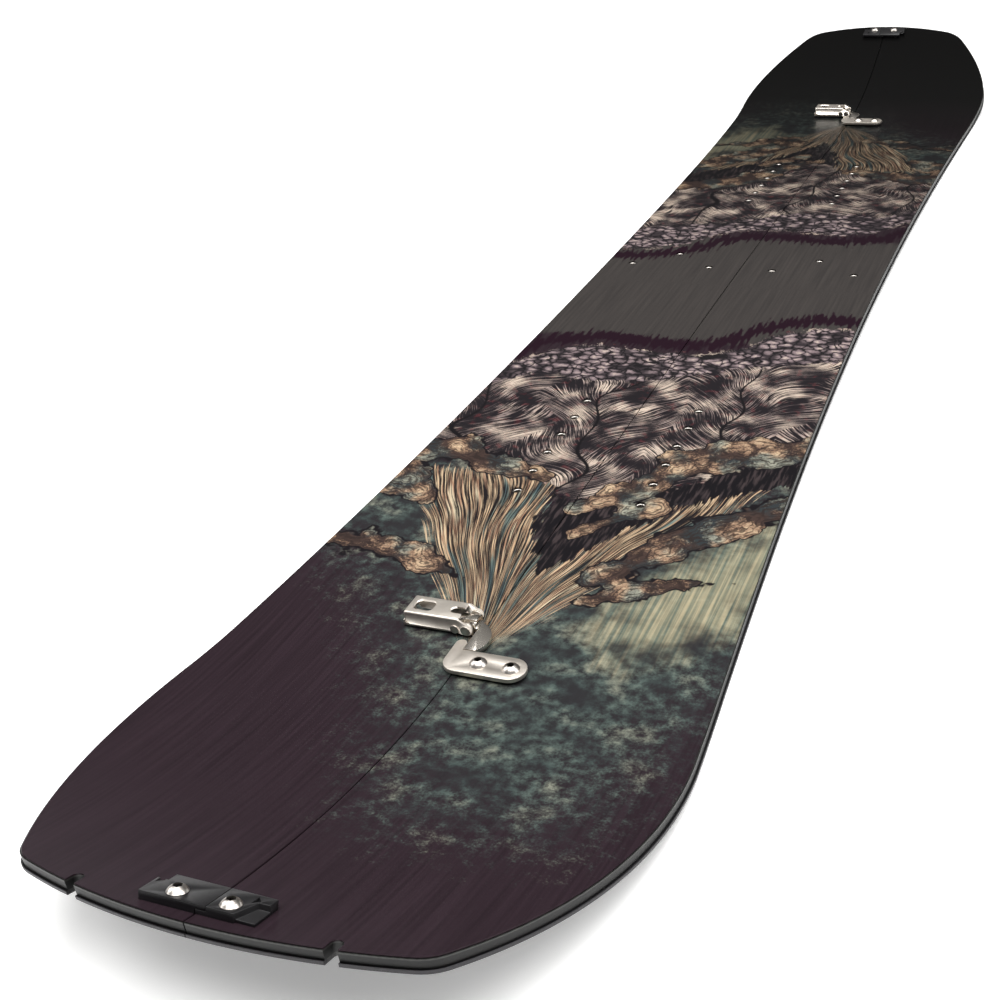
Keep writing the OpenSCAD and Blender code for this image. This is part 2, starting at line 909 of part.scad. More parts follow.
// Plan of the catch plate, inset by m, with the finger that the hook pulls on
module catch_plan(m, with_finger) {
    r = catch_w / 2;
    finger_left = -finger_back - finger_w;
    translate([0, catch_y]) {
        translate([catch_reach - r, 0])
            circle(r = r - m, $fn = fine_fn);
        translate([with_finger ? finger_left + r : r, 0])
            circle(r = r - m, $fn = fine_fn);
        translate([with_finger ? finger_left + r : r, -r + m])
            square([catch_reach - 2 * r - (with_finger ? finger_left : 0), 2 * (r - m)]);
        if (with_finger) {
            translate([finger_left, 0])
                square([finger_w, r + finger_l - finger_w / 2]);
            translate([finger_left + finger_w / 2, r + finger_l - finger_w / 2])
                circle(d = finger_w);
        }
    }
}

module catch_plate(end) {
    color("#d2ccc4")
        at_clip(end)
            difference() {
                translate([0, 0, catch_z])
                    linear_extrude(catch_t)
                        catch_plan(0, true);
                at_catch_screws()
                    cylinder(d = clearance_d, h = catch_z + catch_t + cut_past);
            }
}

module catch_spacer(end) {
    color("#1d1c1e")
        difference() {
            at_clip(end)
                difference() {
                    translate([0, 0, -sunk])
                        linear_extrude(sunk + catch_z)
                            catch_plan(spacer_margin, false);
                    at_catch_screws()
                        translate([0, 0, -sunk - cut_past])
                            cylinder(d = clearance_d, h = sunk + catch_z + 2 * cut_past);
                }
            slab(0, thickness);
        }
}

module catch_screws(end) {
    at_clip(end)
        at_catch_screws()
            screw(catch_z + catch_t, clip_head_d);
}

// --- Tip connectors: one block has a lip across the seam, the other a shelf under it ---

// Ears at the outer ends: length and depth from the block's inboard side
ear_l = 5;
ear_inset = 5.5;
block_low = -2;

// Three-cornered moulding pocket in a block's top: its plan and depth, and its place from the
// outer end of each kind of block
pocket_plan = [[0, 1], [3, 3.6], [0, 6.4]];
pocket_depth = 1.4;
lip_pocket = [1.2, -1];
shelf_pocket = [7.6, 0.4];

module tip_pocket(x, y) {
    translate([x, y, block_h - pocket_depth])
        linear_extrude(pocket_depth + cut_past)
            polygon(pocket_plan);
}

module tip_screw_hole(x) {
    translate([x, -tip_screw_out, block_low - cut_past])
        cylinder(d = clearance_d, h = block_h - block_low + 2 * cut_past);
}

module lip_block() {
    front = -block_l / 2;
    difference() {
        union() {
            translate([-block_reach, front, block_low])
                cube([block_reach - seam_x, block_l, block_h - block_low]);
            translate([-2 * seam_x, front, block_h - lip_t])
                cube([2 * seam_x + lip_reach, block_l, lip_t]);
        }
        translate([-block_reach - cut_past, block_l / 2 - ear_l, block_low - cut_past])
            cube([cut_past + ear_l, block_l, block_h - block_low + 2 * cut_past]);
        tip_pocket(-block_reach + lip_pocket[0], lip_pocket[1]);
        tip_screw_hole(-tip_screw_x);
    }
}

// The shelf block narrows from apex_x outboard to its ear, over a low foot that fills its corner
apex_x = 17;
foot_x = 13;
foot_in = 1;
foot_h = 1.4;

module shelf_block() {
    front = -block_l / 2;
    back = block_l / 2;
    shelf_z = block_h - lip_t - lip_gap;
    wall_x = lip_reach + lip_gap;
    difference() {
        union() {
            translate([seam_x, front, block_low])
                cube([wall_x - seam_x, block_l, shelf_z - block_low]);
            translate([0, 0, block_low])
                linear_extrude(block_h - block_low)
                    polygon([[wall_x, front], [apex_x, front], [block_reach - ear_l, back - ear_inset],
                        [block_reach, back - ear_inset], [block_reach, back], [wall_x, back]]);
            translate([foot_x, front + foot_in, block_low])
                cube([block_reach - foot_x, block_l - foot_in, foot_h - block_low]);
        }
        tip_pocket(block_reach - shelf_pocket[0], shelf_pocket[1]);
        tip_screw_hole(tip_screw_x);
    }
}

// Block of one side: the lip is on the left at the tail and on the right at the nose
module connector(side, end) {
    color("#2b282c")
        difference() {
            at_tip(end) {
                if (side == end)
                    lip_block();
                else
                    shelf_block();
            }
            slab(0, thickness);
        }
}

module tip_screw(side, end) {
    at_tip(end)
        at_tip_screw(side, end)
            screw(block_h, tip_head_d);
}

topsheet(LEFT);  // left_topsheet
upper_laminate(LEFT);  // left_upper_laminate
core(LEFT);  // left_core
lower_laminate(LEFT);  // left_lower_laminate
base(LEFT);  // left_base
outer_edge(LEFT);  // left_outer_edge
tail_edge(LEFT);  // left_tail_edge
inner_edge(LEFT);  // left_inner_edge
outer_sidewall(LEFT);  // left_outer_sidewall
inner_sidewall(LEFT);  // left_inner_sidewall
tip_spacer(LEFT, TAIL);  // left_tail_spacer
tip_spacer(LEFT, NOSE);  // left_nose_spacer
inserts(LEFT);  // left_inserts
topsheet(RIGHT);  // right_topsheet
upper_laminate(RIGHT);  // right_upper_laminate
core(RIGHT);  // right_core
lower_laminate(RIGHT);  // right_lower_laminate
base(RIGHT);  // right_base
outer_edge(RIGHT);  // right_outer_edge
tail_edge(RIGHT);  // right_tail_edge
inner_edge(RIGHT);  // right_inner_edge
outer_sidewall(RIGHT);  // right_outer_sidewall
inner_sidewall(RIGHT);  // right_inner_sidewall
tip_spacer(RIGHT, TAIL);  // right_tail_spacer
tip_spacer(RIGHT, NOSE);  // right_nose_spacer
inserts(RIGHT);  // right_inserts
clip_pad(TAIL);  // tail_clip_pad
clip_base(TAIL);  // tail_clip_base
clip_base_screws(TAIL);  // tail_clip_base_screws
lever(TAIL);  // tail_lever
lever_axle(TAIL);  // tail_lever_axle
hook(TAIL);  // tail_hook
hook_pin(TAIL);  // tail_hook_pin
catch_spacer(TAIL);  // tail_catch_spacer
catch_plate(TAIL);  // tail_catch_plate
catch_screws(TAIL);  // tail_catch_screws
clip_pad(NOSE);  // nose_clip_pad
clip_base(NOSE);  // nose_clip_base
clip_base_screws(NOSE);  // nose_clip_base_screws
lever(NOSE);  // nose_lever
lever_axle(NOSE);  // nose_lever_axle
hook(NOSE);  // nose_hook
hook_pin(NOSE);  // nose_hook_pin
catch_spacer(NOSE);  // nose_catch_spacer
catch_plate(NOSE);  // nose_catch_plate
catch_screws(NOSE);  // nose_catch_screws
connector(LEFT, TAIL);  // tail_connector_left
connector(RIGHT, TAIL);  // tail_connector_right
tip_screw(LEFT, TAIL);  // tail_screw_left
tip_screw(RIGHT, TAIL);  // tail_screw_right
connector(LEFT, NOSE);  // nose_connector_left
connector(RIGHT, NOSE);  // nose_connector_right
tip_screw(LEFT, NOSE);  // nose_screw_left
tip_screw(RIGHT, NOSE);  // nose_screw_right
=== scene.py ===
import math

import bmesh
import bpy
import numpy as np
from mathutils import Matrix, Vector


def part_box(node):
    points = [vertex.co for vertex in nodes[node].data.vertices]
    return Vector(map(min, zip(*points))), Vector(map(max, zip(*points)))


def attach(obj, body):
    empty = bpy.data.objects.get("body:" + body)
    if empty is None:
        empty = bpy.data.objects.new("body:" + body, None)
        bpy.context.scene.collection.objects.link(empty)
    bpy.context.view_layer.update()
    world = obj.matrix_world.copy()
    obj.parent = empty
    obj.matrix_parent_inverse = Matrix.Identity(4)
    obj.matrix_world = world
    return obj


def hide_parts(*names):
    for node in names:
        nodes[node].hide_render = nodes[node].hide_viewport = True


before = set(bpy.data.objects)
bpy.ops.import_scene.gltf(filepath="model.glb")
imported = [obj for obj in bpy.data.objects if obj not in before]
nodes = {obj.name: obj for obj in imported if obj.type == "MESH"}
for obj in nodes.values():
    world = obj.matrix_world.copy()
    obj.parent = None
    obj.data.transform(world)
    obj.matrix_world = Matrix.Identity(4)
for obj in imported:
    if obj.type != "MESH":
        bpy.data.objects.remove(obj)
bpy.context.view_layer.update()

# --- Studio: camera, floor and light ---
# The camera stands beyond the tail at chest height over the floor, a little to the right,
# and looks along the board. The floor is pale and plain, and the light is broad and soft.

camera = bpy.data.objects.new("camera", bpy.data.cameras.new("camera"))
bpy.context.scene.collection.objects.link(camera)
bpy.context.scene.camera = camera
camera_place = (0.2864, -1.0205, 0.4214)
yaw, pitch, roll = math.radians(22.54), math.radians(-29.88), math.radians(-4.86)
ahead = Vector((-math.sin(yaw) * math.cos(pitch), math.cos(yaw) * math.cos(pitch), math.sin(pitch)))
level_right = Vector((math.cos(yaw), math.sin(yaw), 0))
level_up = level_right.cross(ahead)
camera_right = math.cos(roll) * level_right + math.sin(roll) * level_up
camera_up = -math.sin(roll) * level_right + math.cos(roll) * level_up
turn = Matrix((camera_right, camera_up, -ahead)).transposed()
camera.matrix_world = Matrix.Translation(camera_place) @ turn.to_4x4()
camera.data.sensor_width = 36
camera.data.lens = 47.58
camera.data.shift_x = -0.099
camera.data.shift_y = -0.0074
camera.data.clip_end = 60


def linear(hex_colour, alpha=1):
    """sRGB hex to linear colour."""
    parts = [int(hex_colour[i : i + 2], 16) / 255 for i in (1, 3, 5)]
    return [c / 12.92 if c <= 0.04045 else ((c + 0.055) / 1.055) ** 2.4 for c in parts] + [alpha]


def node(tree, kind, inputs=None, out=0, **settings):
    """Adds one node, sets its settings, then sets or links its inputs, and returns one output."""
    made = tree.nodes.new(kind)
    for name, value in settings.items():
        setattr(made, name, value)
    for key, value in (inputs or {}).items():
        if isinstance(value, bpy.types.NodeSocket):
            tree.links.new(value, made.inputs[key])
        else:
            made.inputs[key].default_value = value
    return made.outputs[out] if made.outputs else None


def material(name, **shader):
    """New material with its Principled shader set; returns it, its tree and the shader node."""
    made = bpy.data.materials.new(name)
    made.use_nodes = True
    principled = made.node_tree.nodes["Principled BSDF"]
    for key, value in shader.items():
        principled.inputs[key.replace("_", " ")].default_value = value
    return made, made.node_tree, principled


# Matt studio paper: an even pale grey-white with no shine. It has a little light of its own, as
# paper lit from behind has, which keeps the floor even.
paper, tree, shader = material(
    "studio_paper",
    Base_Color=linear("#f4f4f3"),
    Roughness=0.9,
    Specular_IOR_Level=0.1,
    Emission_Color=linear("#ffffff"),
    Emission_Strength=0.3,
)
floor_half = 12.0
floor = bpy.data.objects.new("floor", bpy.data.meshes.new("floor"))
floor.data.from_pydata(
    [(x, y, 0) for x, y in ((-1, -1), (1, -1), (1, 1), (-1, 1))], [], [(0, 1, 2, 3)]
)
floor.data.transform(Matrix.Scale(floor_half, 4))
floor.data.materials.append(paper)
bpy.context.scene.collection.objects.link(floor)

world = bpy.data.worlds.new("studio_air")
bpy.context.scene.world = world
world.use_nodes = True
sky = world.node_tree
# Dim near the horizon and lighter overhead
height = node(sky, "ShaderNodeTexCoord", out="Generated")
height = node(sky, "ShaderNodeSeparateXYZ", {"Vector": height}, out="Z")
glow = node(sky, "ShaderNodeMapRange", {"Value": height, "From Min": 0.25, "To Min": 0.06, "To Max": 0.5})
# What stands behind the floor is as pale as the floor, and adds no light of its own
seen = node(sky, "ShaderNodeLightPath", out="Is Camera Ray")
glow = node(sky, "ShaderNodeMix", {0: seen, 2: glow, 3: 0.8})
sky.nodes["Background"].inputs["Color"].default_value = linear("#e6e4e1")
sky.links.new(glow, sky.nodes["Background"].inputs["Strength"])


def softbox(name, place, aim, size, power):
    """Square area light at a place, turned towards a point."""
    lamp = bpy.data.objects.new(name, bpy.data.lights.new(name, "AREA"))
    lamp.data.size = size
    lamp.data.energy = power
    lamp.location = place
    lamp.rotation_euler = (Vector(aim) - Vector(place)).to_track_quat("-Z", "Y").to_euler()
    bpy.context.scene.collection.objects.link(lamp)


softbox("overhead", (0.2, -0.5, 3.0), (0, 0, 0), 3.0, 135)
softbox("left_fill", (-2.6, -0.6, 1.9), (0, -0.1, 0), 1.8, 36)
softbox("right_fill", (2.6, 0.2, 1.9), (0, 0.1, 0), 1.8, 36)
bpy.context.scene.view_settings.view_transform = "Standard"

# --- Base ---
# Black sintered polyethylene sheet, cut to the outline, pressed with the other layers over a
# bent mould and ground flat. It runs between the steel edges, and is routed with them at the tail.

MM = 0.001
SIDES = {"left": -1, "right": 1}

# Outline in mm: half widths at waist, tail and nose, the waist's station, how far in from each
# end the board is widest, and the radii of side, corner and end
half_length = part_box("right_outer_edge")[1].y / MM
waist_half, tail_half, nose_half = 122.5, 142.0, 142.0
waist_y = -32.0
tail_reach, nose_reach = 166.0, 170.0
tail_radii, nose_radii = (258.0, 20.0, 290.0), (264.0, 38.0, 305.0)
# Profile in mm: length and height of each upturned end, and the camber between them
tail_kick, nose_kick = (228.0, 47.6), (252.0, 57.7)
camber = 4.2
tail_contact, nose_contact = tail_kick[0] - half_length, half_length - nose_kick[0]
contact_mid, contact_half = (tail_contact + nose_contact) / 2, (nose_contact - tail_contact) / 2
# Half of the saw's gap, the steel's width beside the base, and the step between rows of points
seam_x, edge_width, base_thickness = 0.2, 2.0, 1.2
row_step = 3.2
trim_margin = 0.2


def rise(y):
    """Height of the running surface at a station, in mm."""
    tail = tail_kick[1] * ((tail_contact - y) / tail_kick[0]) ** 2
    nose = nose_kick[1] * ((y - nose_contact) / nose_kick[0]) ** 2
    middle = camber * (1 - ((y - contact_mid) / contact_half) ** 2) ** 2
    return np.where(y < tail_contact, tail, np.where(y > nose_contact, nose, middle))


def slope(y):
    """Rise of the running surface per mm along the board."""
    u = (y - contact_mid) / contact_half
    tail = -2 * tail_kick[1] * (tail_contact - y) / tail_kick[0] ** 2
    nose = 2 * nose_kick[1] * (y - nose_contact) / nose_kick[0] ** 2
    middle = -4 * camber * u * (1 - u * u) / contact_half
    return np.where(y < tail_contact, tail, np.where(y > nose_contact, nose, middle))


def station_under(y, height):
    """Station whose square line meets y at a height over the base."""
    y = np.asarray(y, float)
    station = y
    for _ in range(4):
        m = slope(station)
        station = y + height * m / np.sqrt(1 + m * m)
    return station


def surface_z(y, height):
    """Level at y of the surface that lies a height over the base, square to it."""
    station = station_under(y, height)
    return rise(station) + height / np.sqrt(1 + slope(station) ** 2)


def tip_curve(half_width, reach, radii, blend, inset, inner):
    """One tip from the end of the sidecut to the seam, as distances from seam and widest line."""
    side_r, corner_r, end_r = radii
    side_c, end_c = np.array([half_width - side_r, 0]), np.array([0, reach - end_r])
    apart = np.linalg.norm(end_c - side_c)
    to_side, to_end = side_r - corner_r, end_r - corner_r
    along = (to_side**2 - to_end**2 + apart**2) / (2 * apart)
    off = math.sqrt(to_side**2 - along**2)
    u = (end_c - side_c) / apart
    corner_c = side_c + along * u + off * np.array([-u[1], u[0]])
    a1 = math.atan2(*(corner_c - side_c)[::-1])
    a2 = math.atan2(*(corner_c - end_c)[::-1])
    # The steps come from the full radii, so that every inset has its points at the same angles
    turns = [(side_c, side_r, -blend, a1), (corner_c, corner_r, a1, a2)]
    turns.append((end_c, end_r, a2, math.acos(inner / (end_r - inset))))
    curve = []
    for c, r, start, stop in turns:
        steps = max(6, math.ceil(abs(stop - start) * r / row_step))
        a = np.linspace(start, stop, steps + 1)[1:]
        curve.append(np.column_stack((c[0] + (r - inset) * np.cos(a), c[1] + (r - inset) * np.sin(a))))
    return np.vstack(curve)


def rim(inset, inner=seam_x):
    """Outline of the right half, from the seam at the tail to the seam at the nose."""
    parts = []
    for half_width, reach, radii, sign in (
        (tail_half, tail_reach, tail_radii, -1),
        (nose_half, nose_reach, nose_radii, 1),
    ):
        wide_y = sign * (half_length - reach)
        run, flare = abs(wide_y - waist_y), half_width - waist_half
        both = (run**2 + flare**2) / (2 * flare)
        blend = math.asin(run / both)
        cut_r = both - radii[0]
        steps = math.ceil(run / row_step)
        a = blend * np.arange(steps + 1) / steps
        side = np.column_stack(
            (waist_half + cut_r - (cut_r + inset) * np.cos(a), waist_y + sign * (cut_r + inset) * np.sin(a))
        )
        tip = tip_curve(half_width, reach, radii, blend, inset, inner)
        tip[:, 1] = wide_y + sign * tip[:, 1]
        parts.append(np.vstack((side, tip)))
    return np.vstack((parts[0][::-1], parts[1][1:]))


def trimmed(curves, span):
    """The curves' rows between two values of y, with a new row exactly on each cut."""
    if span is None:
        return curves
    low, high = span
    inside = np.all([(c[:, 1] > low + trim_margin) & (c[:, 1] < high - trim_margin) for c in curves], axis=0)
    kept = []
    for c in curves:
        first = [[np.interp(low, c[:, 1], c[:, 0]), low]] if low > c[0, 1] else c[:1]
        last = [[np.interp(high, c[:, 1], c[:, 0]), high]] if high < c[-1, 1] else c[-1:]
        kept.append(np.vstack((first, c[inside], last)))
    return kept


def swept(name, side, loops, finish):
    """Closed piece through a row of loops, each the same points across the board, in mm."""
    rows, around = loops.shape[:2]
    mesh = bmesh.new()
    points = loops.reshape(-1, 3) * (SIDES[side] * MM, MM, MM)
    grid = [mesh.verts.new(p) for p in points]
    for i in range(rows - 1):
        for j in range(around):
            k = (j + 1) % around
            corners = (i * around + j, i * around + k, (i + 1) * around + k, (i + 1) * around + j)
            mesh.faces.new([grid[c] for c in corners])
    mesh.faces.new(grid[:around])
    mesh.faces.new(grid[-around:])
    bmesh.ops.remove_doubles(mesh, verts=mesh.verts, dist=2e-6)
    bmesh.ops.dissolve_degenerate(mesh, edges=mesh.edges, dist=1e-7)
    bmesh.ops.recalc_face_normals(mesh, faces=mesh.faces)
    data = bpy.data.meshes.new(name)
    mesh.to_mesh(data)
    mesh.free()
    made = bpy.data.objects.new(name, data)
    bpy.context.scene.collection.objects.link(made)
    data.materials.append(finish)
    return made


def section(x, y, height):
    """Points at the given x and y on the surface a height over the base."""
    return np.stack((x, y, surface_z(y, height)), axis=-1)


def layer(name, side, heights, inset, inner, finish, chamfer=0.0, columns=1, span=None):
    """A layer of one half, from its inner face to its rim, with a chamfer round its upper edge."""
    low, high = heights
    wall, upper = trimmed([rim(inset, inner), rim(inset + chamfer, inner + chamfer)], span)
    across = np.linspace(0, 1, columns + 1)
    top_x = inner + chamfer + across * (upper[:, :1] - inner - chamfer)
    top_y = np.repeat(upper[:, 1:], columns + 1, axis=1)
    face_x = np.full(len(wall), float(inner))
    loops = [section(top_x, top_y, high)]
    if chamfer:
        loops.append(section(wall[:, 0], wall[:, 1], high - chamfer)[:, None])
    loops.append(section(wall[:, 0], wall[:, 1], low)[:, None])
    loops.append(section(face_x, wall[:, 1], low)[:, None])
    if chamfer:
        loops.append(section(face_x, wall[:, 1], high - chamfer)[:, None])
    return swept(name, side, np.concatenate(loops, axis=1), finish)


def carved(piece, cutter, operation="DIFFERENCE"):
    """Cuts the piece with the cutter, leaves a plain mesh and removes the cutter."""
    change = piece.modifiers.new("carve", "BOOLEAN")
    change.operation = operation
    change.object = cutter
    change.solver = "EXACT"
    result = bpy.data.meshes.new_from_object(
        piece.evaluated_get(bpy.context.evaluated_depsgraph_get())
    )
    piece.modifiers.clear()
    piece.data = result
    bpy.data.objects.remove(cutter)
    return piece


def smooth(piece, angle=30):
    """Smooth shading, with every edge sharper than the angle kept crisp."""
    piece.data.shade_smooth()
    piece.data.set_sharp_from_angle(angle=math.radians(angle))
    return piece


def solid(name, build):
    """A scratch object whose bmesh is filled by build, in mm."""
    mesh = bmesh.new()
    build(mesh)
    bmesh.ops.recalc_face_normals(mesh, faces=mesh.faces)
    data = bpy.data.meshes.new(name)
    mesh.to_mesh(data)
    mesh.free()
    data.transform(Matrix.Scale(MM, 4))
    made = bpy.data.objects.new(name, data)
    bpy.context.scene.collection.objects.link(made)
    return made


notch_x, notch_width, notch_depth = 58.0, 5.4, 14.0
past_tail, over_tail = 20, 120


def notch_cutter(side):
    """The slot that is routed into the tail for the climbing skin's hook."""
    x = SIDES[side] * notch_x
    radius = notch_width / 2
    open_y, round_y = -half_length - past_tail, -half_length + notch_depth - radius

    def build(mesh):
        turns = np.linspace(0, math.pi, 17)
        plan = [(x + radius, open_y)]
        plan += [(x + radius * math.cos(t), round_y + radius * math.sin(t)) for t in turns]
        plan.append((x - radius, open_y))
        face = mesh.faces.new([mesh.verts.new((px, py, 0)) for px, py in plan])
        raised = bmesh.ops.extrude_face_region(mesh, geom=[face])["geom"]
        for v in raised:
            if isinstance(v, bmesh.types.BMVert):
                v.co.z = over_tail

    return solid("notch", build)


def stand(piece, node_name, body):
    """The piece stands for its CAD node and moves with a body."""
    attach(piece, body)
    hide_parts(node_name)
    return piece


# Sintered polyethylene, ground by a stone: dull black with a faint lengthwise shimmer
base_plastic, tree, shader = material("sintered_base", Base_Color=linear("#191819"), Roughness=0.45)
place = node(tree, "ShaderNodeTexCoord", out="Object")
# Fine grooves of the base grind, under half a millimetre apart, along the board
grind = node(tree, "ShaderNodeMapping", {"Vector": place, "Scale": (2500, 12, 12)})
grooves = node(tree, "ShaderNodeTexNoise", {"Vector": grind, "Scale": 1.0, "Detail": 2.0})
ground = node(tree, "ShaderNodeBump", {"Height": grooves, "Strength": 0.15, "Distance": 0.0001})
tree.links.new(ground, shader.inputs["Normal"])

for side in SIDES:
    sheet = layer(
        f"{side}_base_sheet", side, (0, base_thickness), edge_width, seam_x + edge_width, base_plastic
    )
    sheet = smooth(carved(sheet, notch_cutter(side)))
    stand(sheet, f"{side}_base", f"{side}_half")

# --- Steel edges ---
# Hardened steel strip round each half. One length runs along the rim from the nose to the
# tail notch, a short one crosses the tail and a straight one follows the sawn face.

edge_height, edge_chamfer = 2.0, 0.25
# The two straight strips are filed until they all but meet when the board is closed
seam_meet, seam_chamfer = 0.05, 0.15
notch_far, notch_near = notch_x + notch_width / 2, notch_x - notch_width / 2
tail_from, tail_to = -half_length - 5, -half_length + notch_depth
tail_low, tail_high = -5, 90


def rim_strip(name, side, heights, outer, inner, finish, chamfer=0.0, span=None):
    """A strip that follows the rim between two insets, chamfered along its two outer edges."""
    low, high = heights
    wall, nick, back = trimmed([rim(outer), rim(outer + chamfer), rim(inner)], span)
    loops = [section(back[:, 0], back[:, 1], high), section(nick[:, 0], nick[:, 1], high)]
    if chamfer:
        loops += [section(wall[:, 0], wall[:, 1], h) for h in (high - chamfer, low + chamfer)]
    loops += [section(nick[:, 0], nick[:, 1], low), section(back[:, 0], back[:, 1], low)]
    return swept(name, side, np.stack(loops, axis=1), finish)


def straight_strip(name, side, heights, x_from, x_to, span, finish, chamfer):
    """A strip along the sawn face, with a chamfer on its two edges next to the seam."""
    low, high = heights
    y = np.linspace(span[0], span[1], math.ceil((span[1] - span[0]) / row_step) + 1)
    places = [(x_to, high), (x_from + chamfer, high), (x_from, high - chamfer)]
    places += [(x_from, low + chamfer), (x_from + chamfer, low), (x_to, low)]
    loops = [section(np.full(len(y), float(x)), y, h) for x, h in places]
    return swept(name, side, np.stack(loops, axis=1), finish)


def tail_block(x_a, x_b):
    """Cutter over the tail as deep as the notch, between two values of x."""

    def build(mesh):
        low = (min(x_a, x_b), tail_from, tail_low)
        high = (max(x_a, x_b), tail_to, tail_high)
        middle = [(a + b) / 2 for a, b in zip(low, high)]
        size = [b - a for a, b in zip(low, high)]
        bmesh.ops.create_cube(mesh, matrix=Matrix.Translation(middle) @ Matrix.Diagonal((*size, 1)))

    return solid("tail_block", build)


# Ground and filed steel, dulled by handling: dark grey with a soft uneven shine
edge_steel, tree, shader = material(
    "ground_edge_steel", Base_Color=linear("#3f3e40"), Metallic=1.0, Roughness=0.42
)
place = node(tree, "ShaderNodeTexCoord", out="Object")
# Filing marks across the strip, about half a millimetre apart
filing = node(tree, "ShaderNodeMapping", {"Vector": place, "Scale": (200, 2000, 200)})
marks = node(tree, "ShaderNodeTexNoise", {"Vector": filing, "Scale": 1.0, "Detail": 3.0})
spread = node(tree, "ShaderNodeMapRange", {"Value": marks, "To Min": 0.34, "To Max": 0.58})
tree.links.new(spread, shader.inputs["Roughness"])

edge_heights = (0, edge_height)
seam_span = [rim(edge_width)[i, 1] for i in (0, -1)]
for side, s in SIDES.items():
    outer = rim_strip(f"{side}_long_edge", side, edge_heights, 0, edge_width, edge_steel, edge_chamfer)
    outer = carved(outer, tail_block(-s * past_tail, s * notch_far))
    stand(smooth(outer), f"{side}_outer_edge", f"{side}_half")
    short = rim_strip(f"{side}_short_edge", side, edge_heights, 0, edge_width, edge_steel, edge_chamfer)
    short = carved(short, tail_block(s * 0.01, s * notch_near), "INTERSECT")
    stand(smooth(short), f"{side}_tail_edge", f"{side}_half")
    inner = straight_strip(
        f"{side}_seam_edge", side, edge_heights, seam_meet, seam_x + edge_width, seam_span, edge_steel,
        seam_chamfer,
    )
    stand(smooth(inner), f"{side}_inner_edge", f"{side}_half")

# --- Core, lower laminate and sidewalls ---
# Laminated wood core between glass and resin layers, closed along its sides by black ABS
# sidewalls and at the two ends by ABS spacers. All of it is milled and pressed flush.

ENDS = {"tail": -1, "nose": 1}
LEVER_SIDE = "left"
core_top, deck_top = 6.0, 7.5
# The walls stand this far inside the steel, and their faces next to the seam a little back
wall_inset, wall_width, wall_face = 1.0, 6.0, seam_x + 0.1
spacer_ends = (-half_length + 150.0, half_length - 165.0)
# Clips: distance from the middle and half length of the deck's chord under them, their row of
# screws, and the screws' places from the seam. Connectors: distance in from the end, and screw.
clip_middle, clip_reach, clip_row = 525.0, 25.0, 32.5
base_screw_xs, catch_screw_xs = (-21.8, -36.2), (12.5, 30.9)
tip_in, tip_screw_x, tip_screw_out = 15.0, 12.0, 2.5
# Inserts for the feet: six in a row at each end of a half
foot_x, foot_y, foot_shift, foot_pitch, foot_count = 41.3, 291.0, -11.0, 25.4, 6
# Inserts for touring: a pair across the half and one ahead of it
touring_x, touring_reach, touring_y, touring_front = 63.0, 35.0, 28.0, 57.0
barrel_hole = 9.2


def clip_frame(end):
    """Frame of a clip: on the deck's chord under it, x from the seam, y towards the nose."""
    y = ENDS[end] * clip_middle
    behind, before = (float(surface_z(y + d, deck_top)) for d in (-clip_reach, clip_reach))
    lean = math.atan((before - behind) / (2 * clip_reach))
    return Matrix.Translation((0, y, (before + behind) / 2)) @ Matrix.Rotation(lean, 4, "X")


def tip_frame(end):
    """Frame of a tip connector: square to the deck, y inboard."""
    y = ENDS[end] * (half_length - tip_in)
    lean = math.atan(float(slope(station_under(y, deck_top))))
    made = Matrix.Translation((0, y, float(surface_z(y, deck_top)))) @ Matrix.Rotation(lean, 4, "X")
    return made @ Matrix.Rotation(math.pi, 4, "Z") if end == "nose" else made


def deck_frame(x, y):
    """Upright frame on the deck."""
    return Matrix.Translation((x, y, float(surface_z(y, deck_top))))


def screw_frames(side, end):
    """Frames of the clip's two screws and of the connector's screw, on the deck."""
    xs, row = (base_screw_xs, clip_row / 2) if side == LEVER_SIDE else (catch_screw_xs, -clip_row / 2)
    clip = [clip_frame(end) @ Matrix.Translation((x, row, 0)) for x in xs]
    turn = SIDES[side] * -ENDS[end]
    return clip, [tip_frame(end) @ Matrix.Translation((turn * tip_screw_x, -tip_screw_out, 0))]


def insert_frames(side):
    """Frames of every threaded insert of one half."""
    s = SIDES[side]
    frames = []
    for foot in ENDS.values():
        for i in range(foot_count):
            along = (i - (foot_count - 1) / 2) * foot_pitch
            frames.append(deck_frame(s * foot_x, foot * foot_y + foot_shift + along))
    for x in (-touring_reach, touring_reach):
        frames.append(deck_frame(s * touring_x + x, touring_y))
    frames.append(deck_frame(s * touring_x, touring_front))
    for end in ENDS:
        for group in screw_frames(side, end):
            frames += group
    return frames


def hole_cutter(side, diameter):
    """Cylinders square to the deck at every insert of one half."""

    def build(mesh):
        for place in insert_frames(side):
            made = bmesh.ops.create_cone(
                mesh, cap_ends=True, segments=36, radius1=diameter / 2, radius2=diameter / 2, depth=12
            )
            bmesh.ops.transform(mesh, matrix=place, verts=made["verts"])

    return solid("holes", build)


def keep_node(name, finish):
    """The CAD node is shown as it is, with a finish of its own."""
    nodes[name].data.materials.clear()
    nodes[name].data.materials.append(finish)


# Settings of a node that mixes two colours, whose sockets are 0, 6 and 7
COLOURS = {"out": 2, "data_type": "RGBA"}

# Poplar strips glued up and planed: pale, with lengthwise grain
wood, tree, shader = material("laminated_wood", Base_Color=linear("#c7a877"), Roughness=0.55)
place = node(tree, "ShaderNodeTexCoord", out="Object")
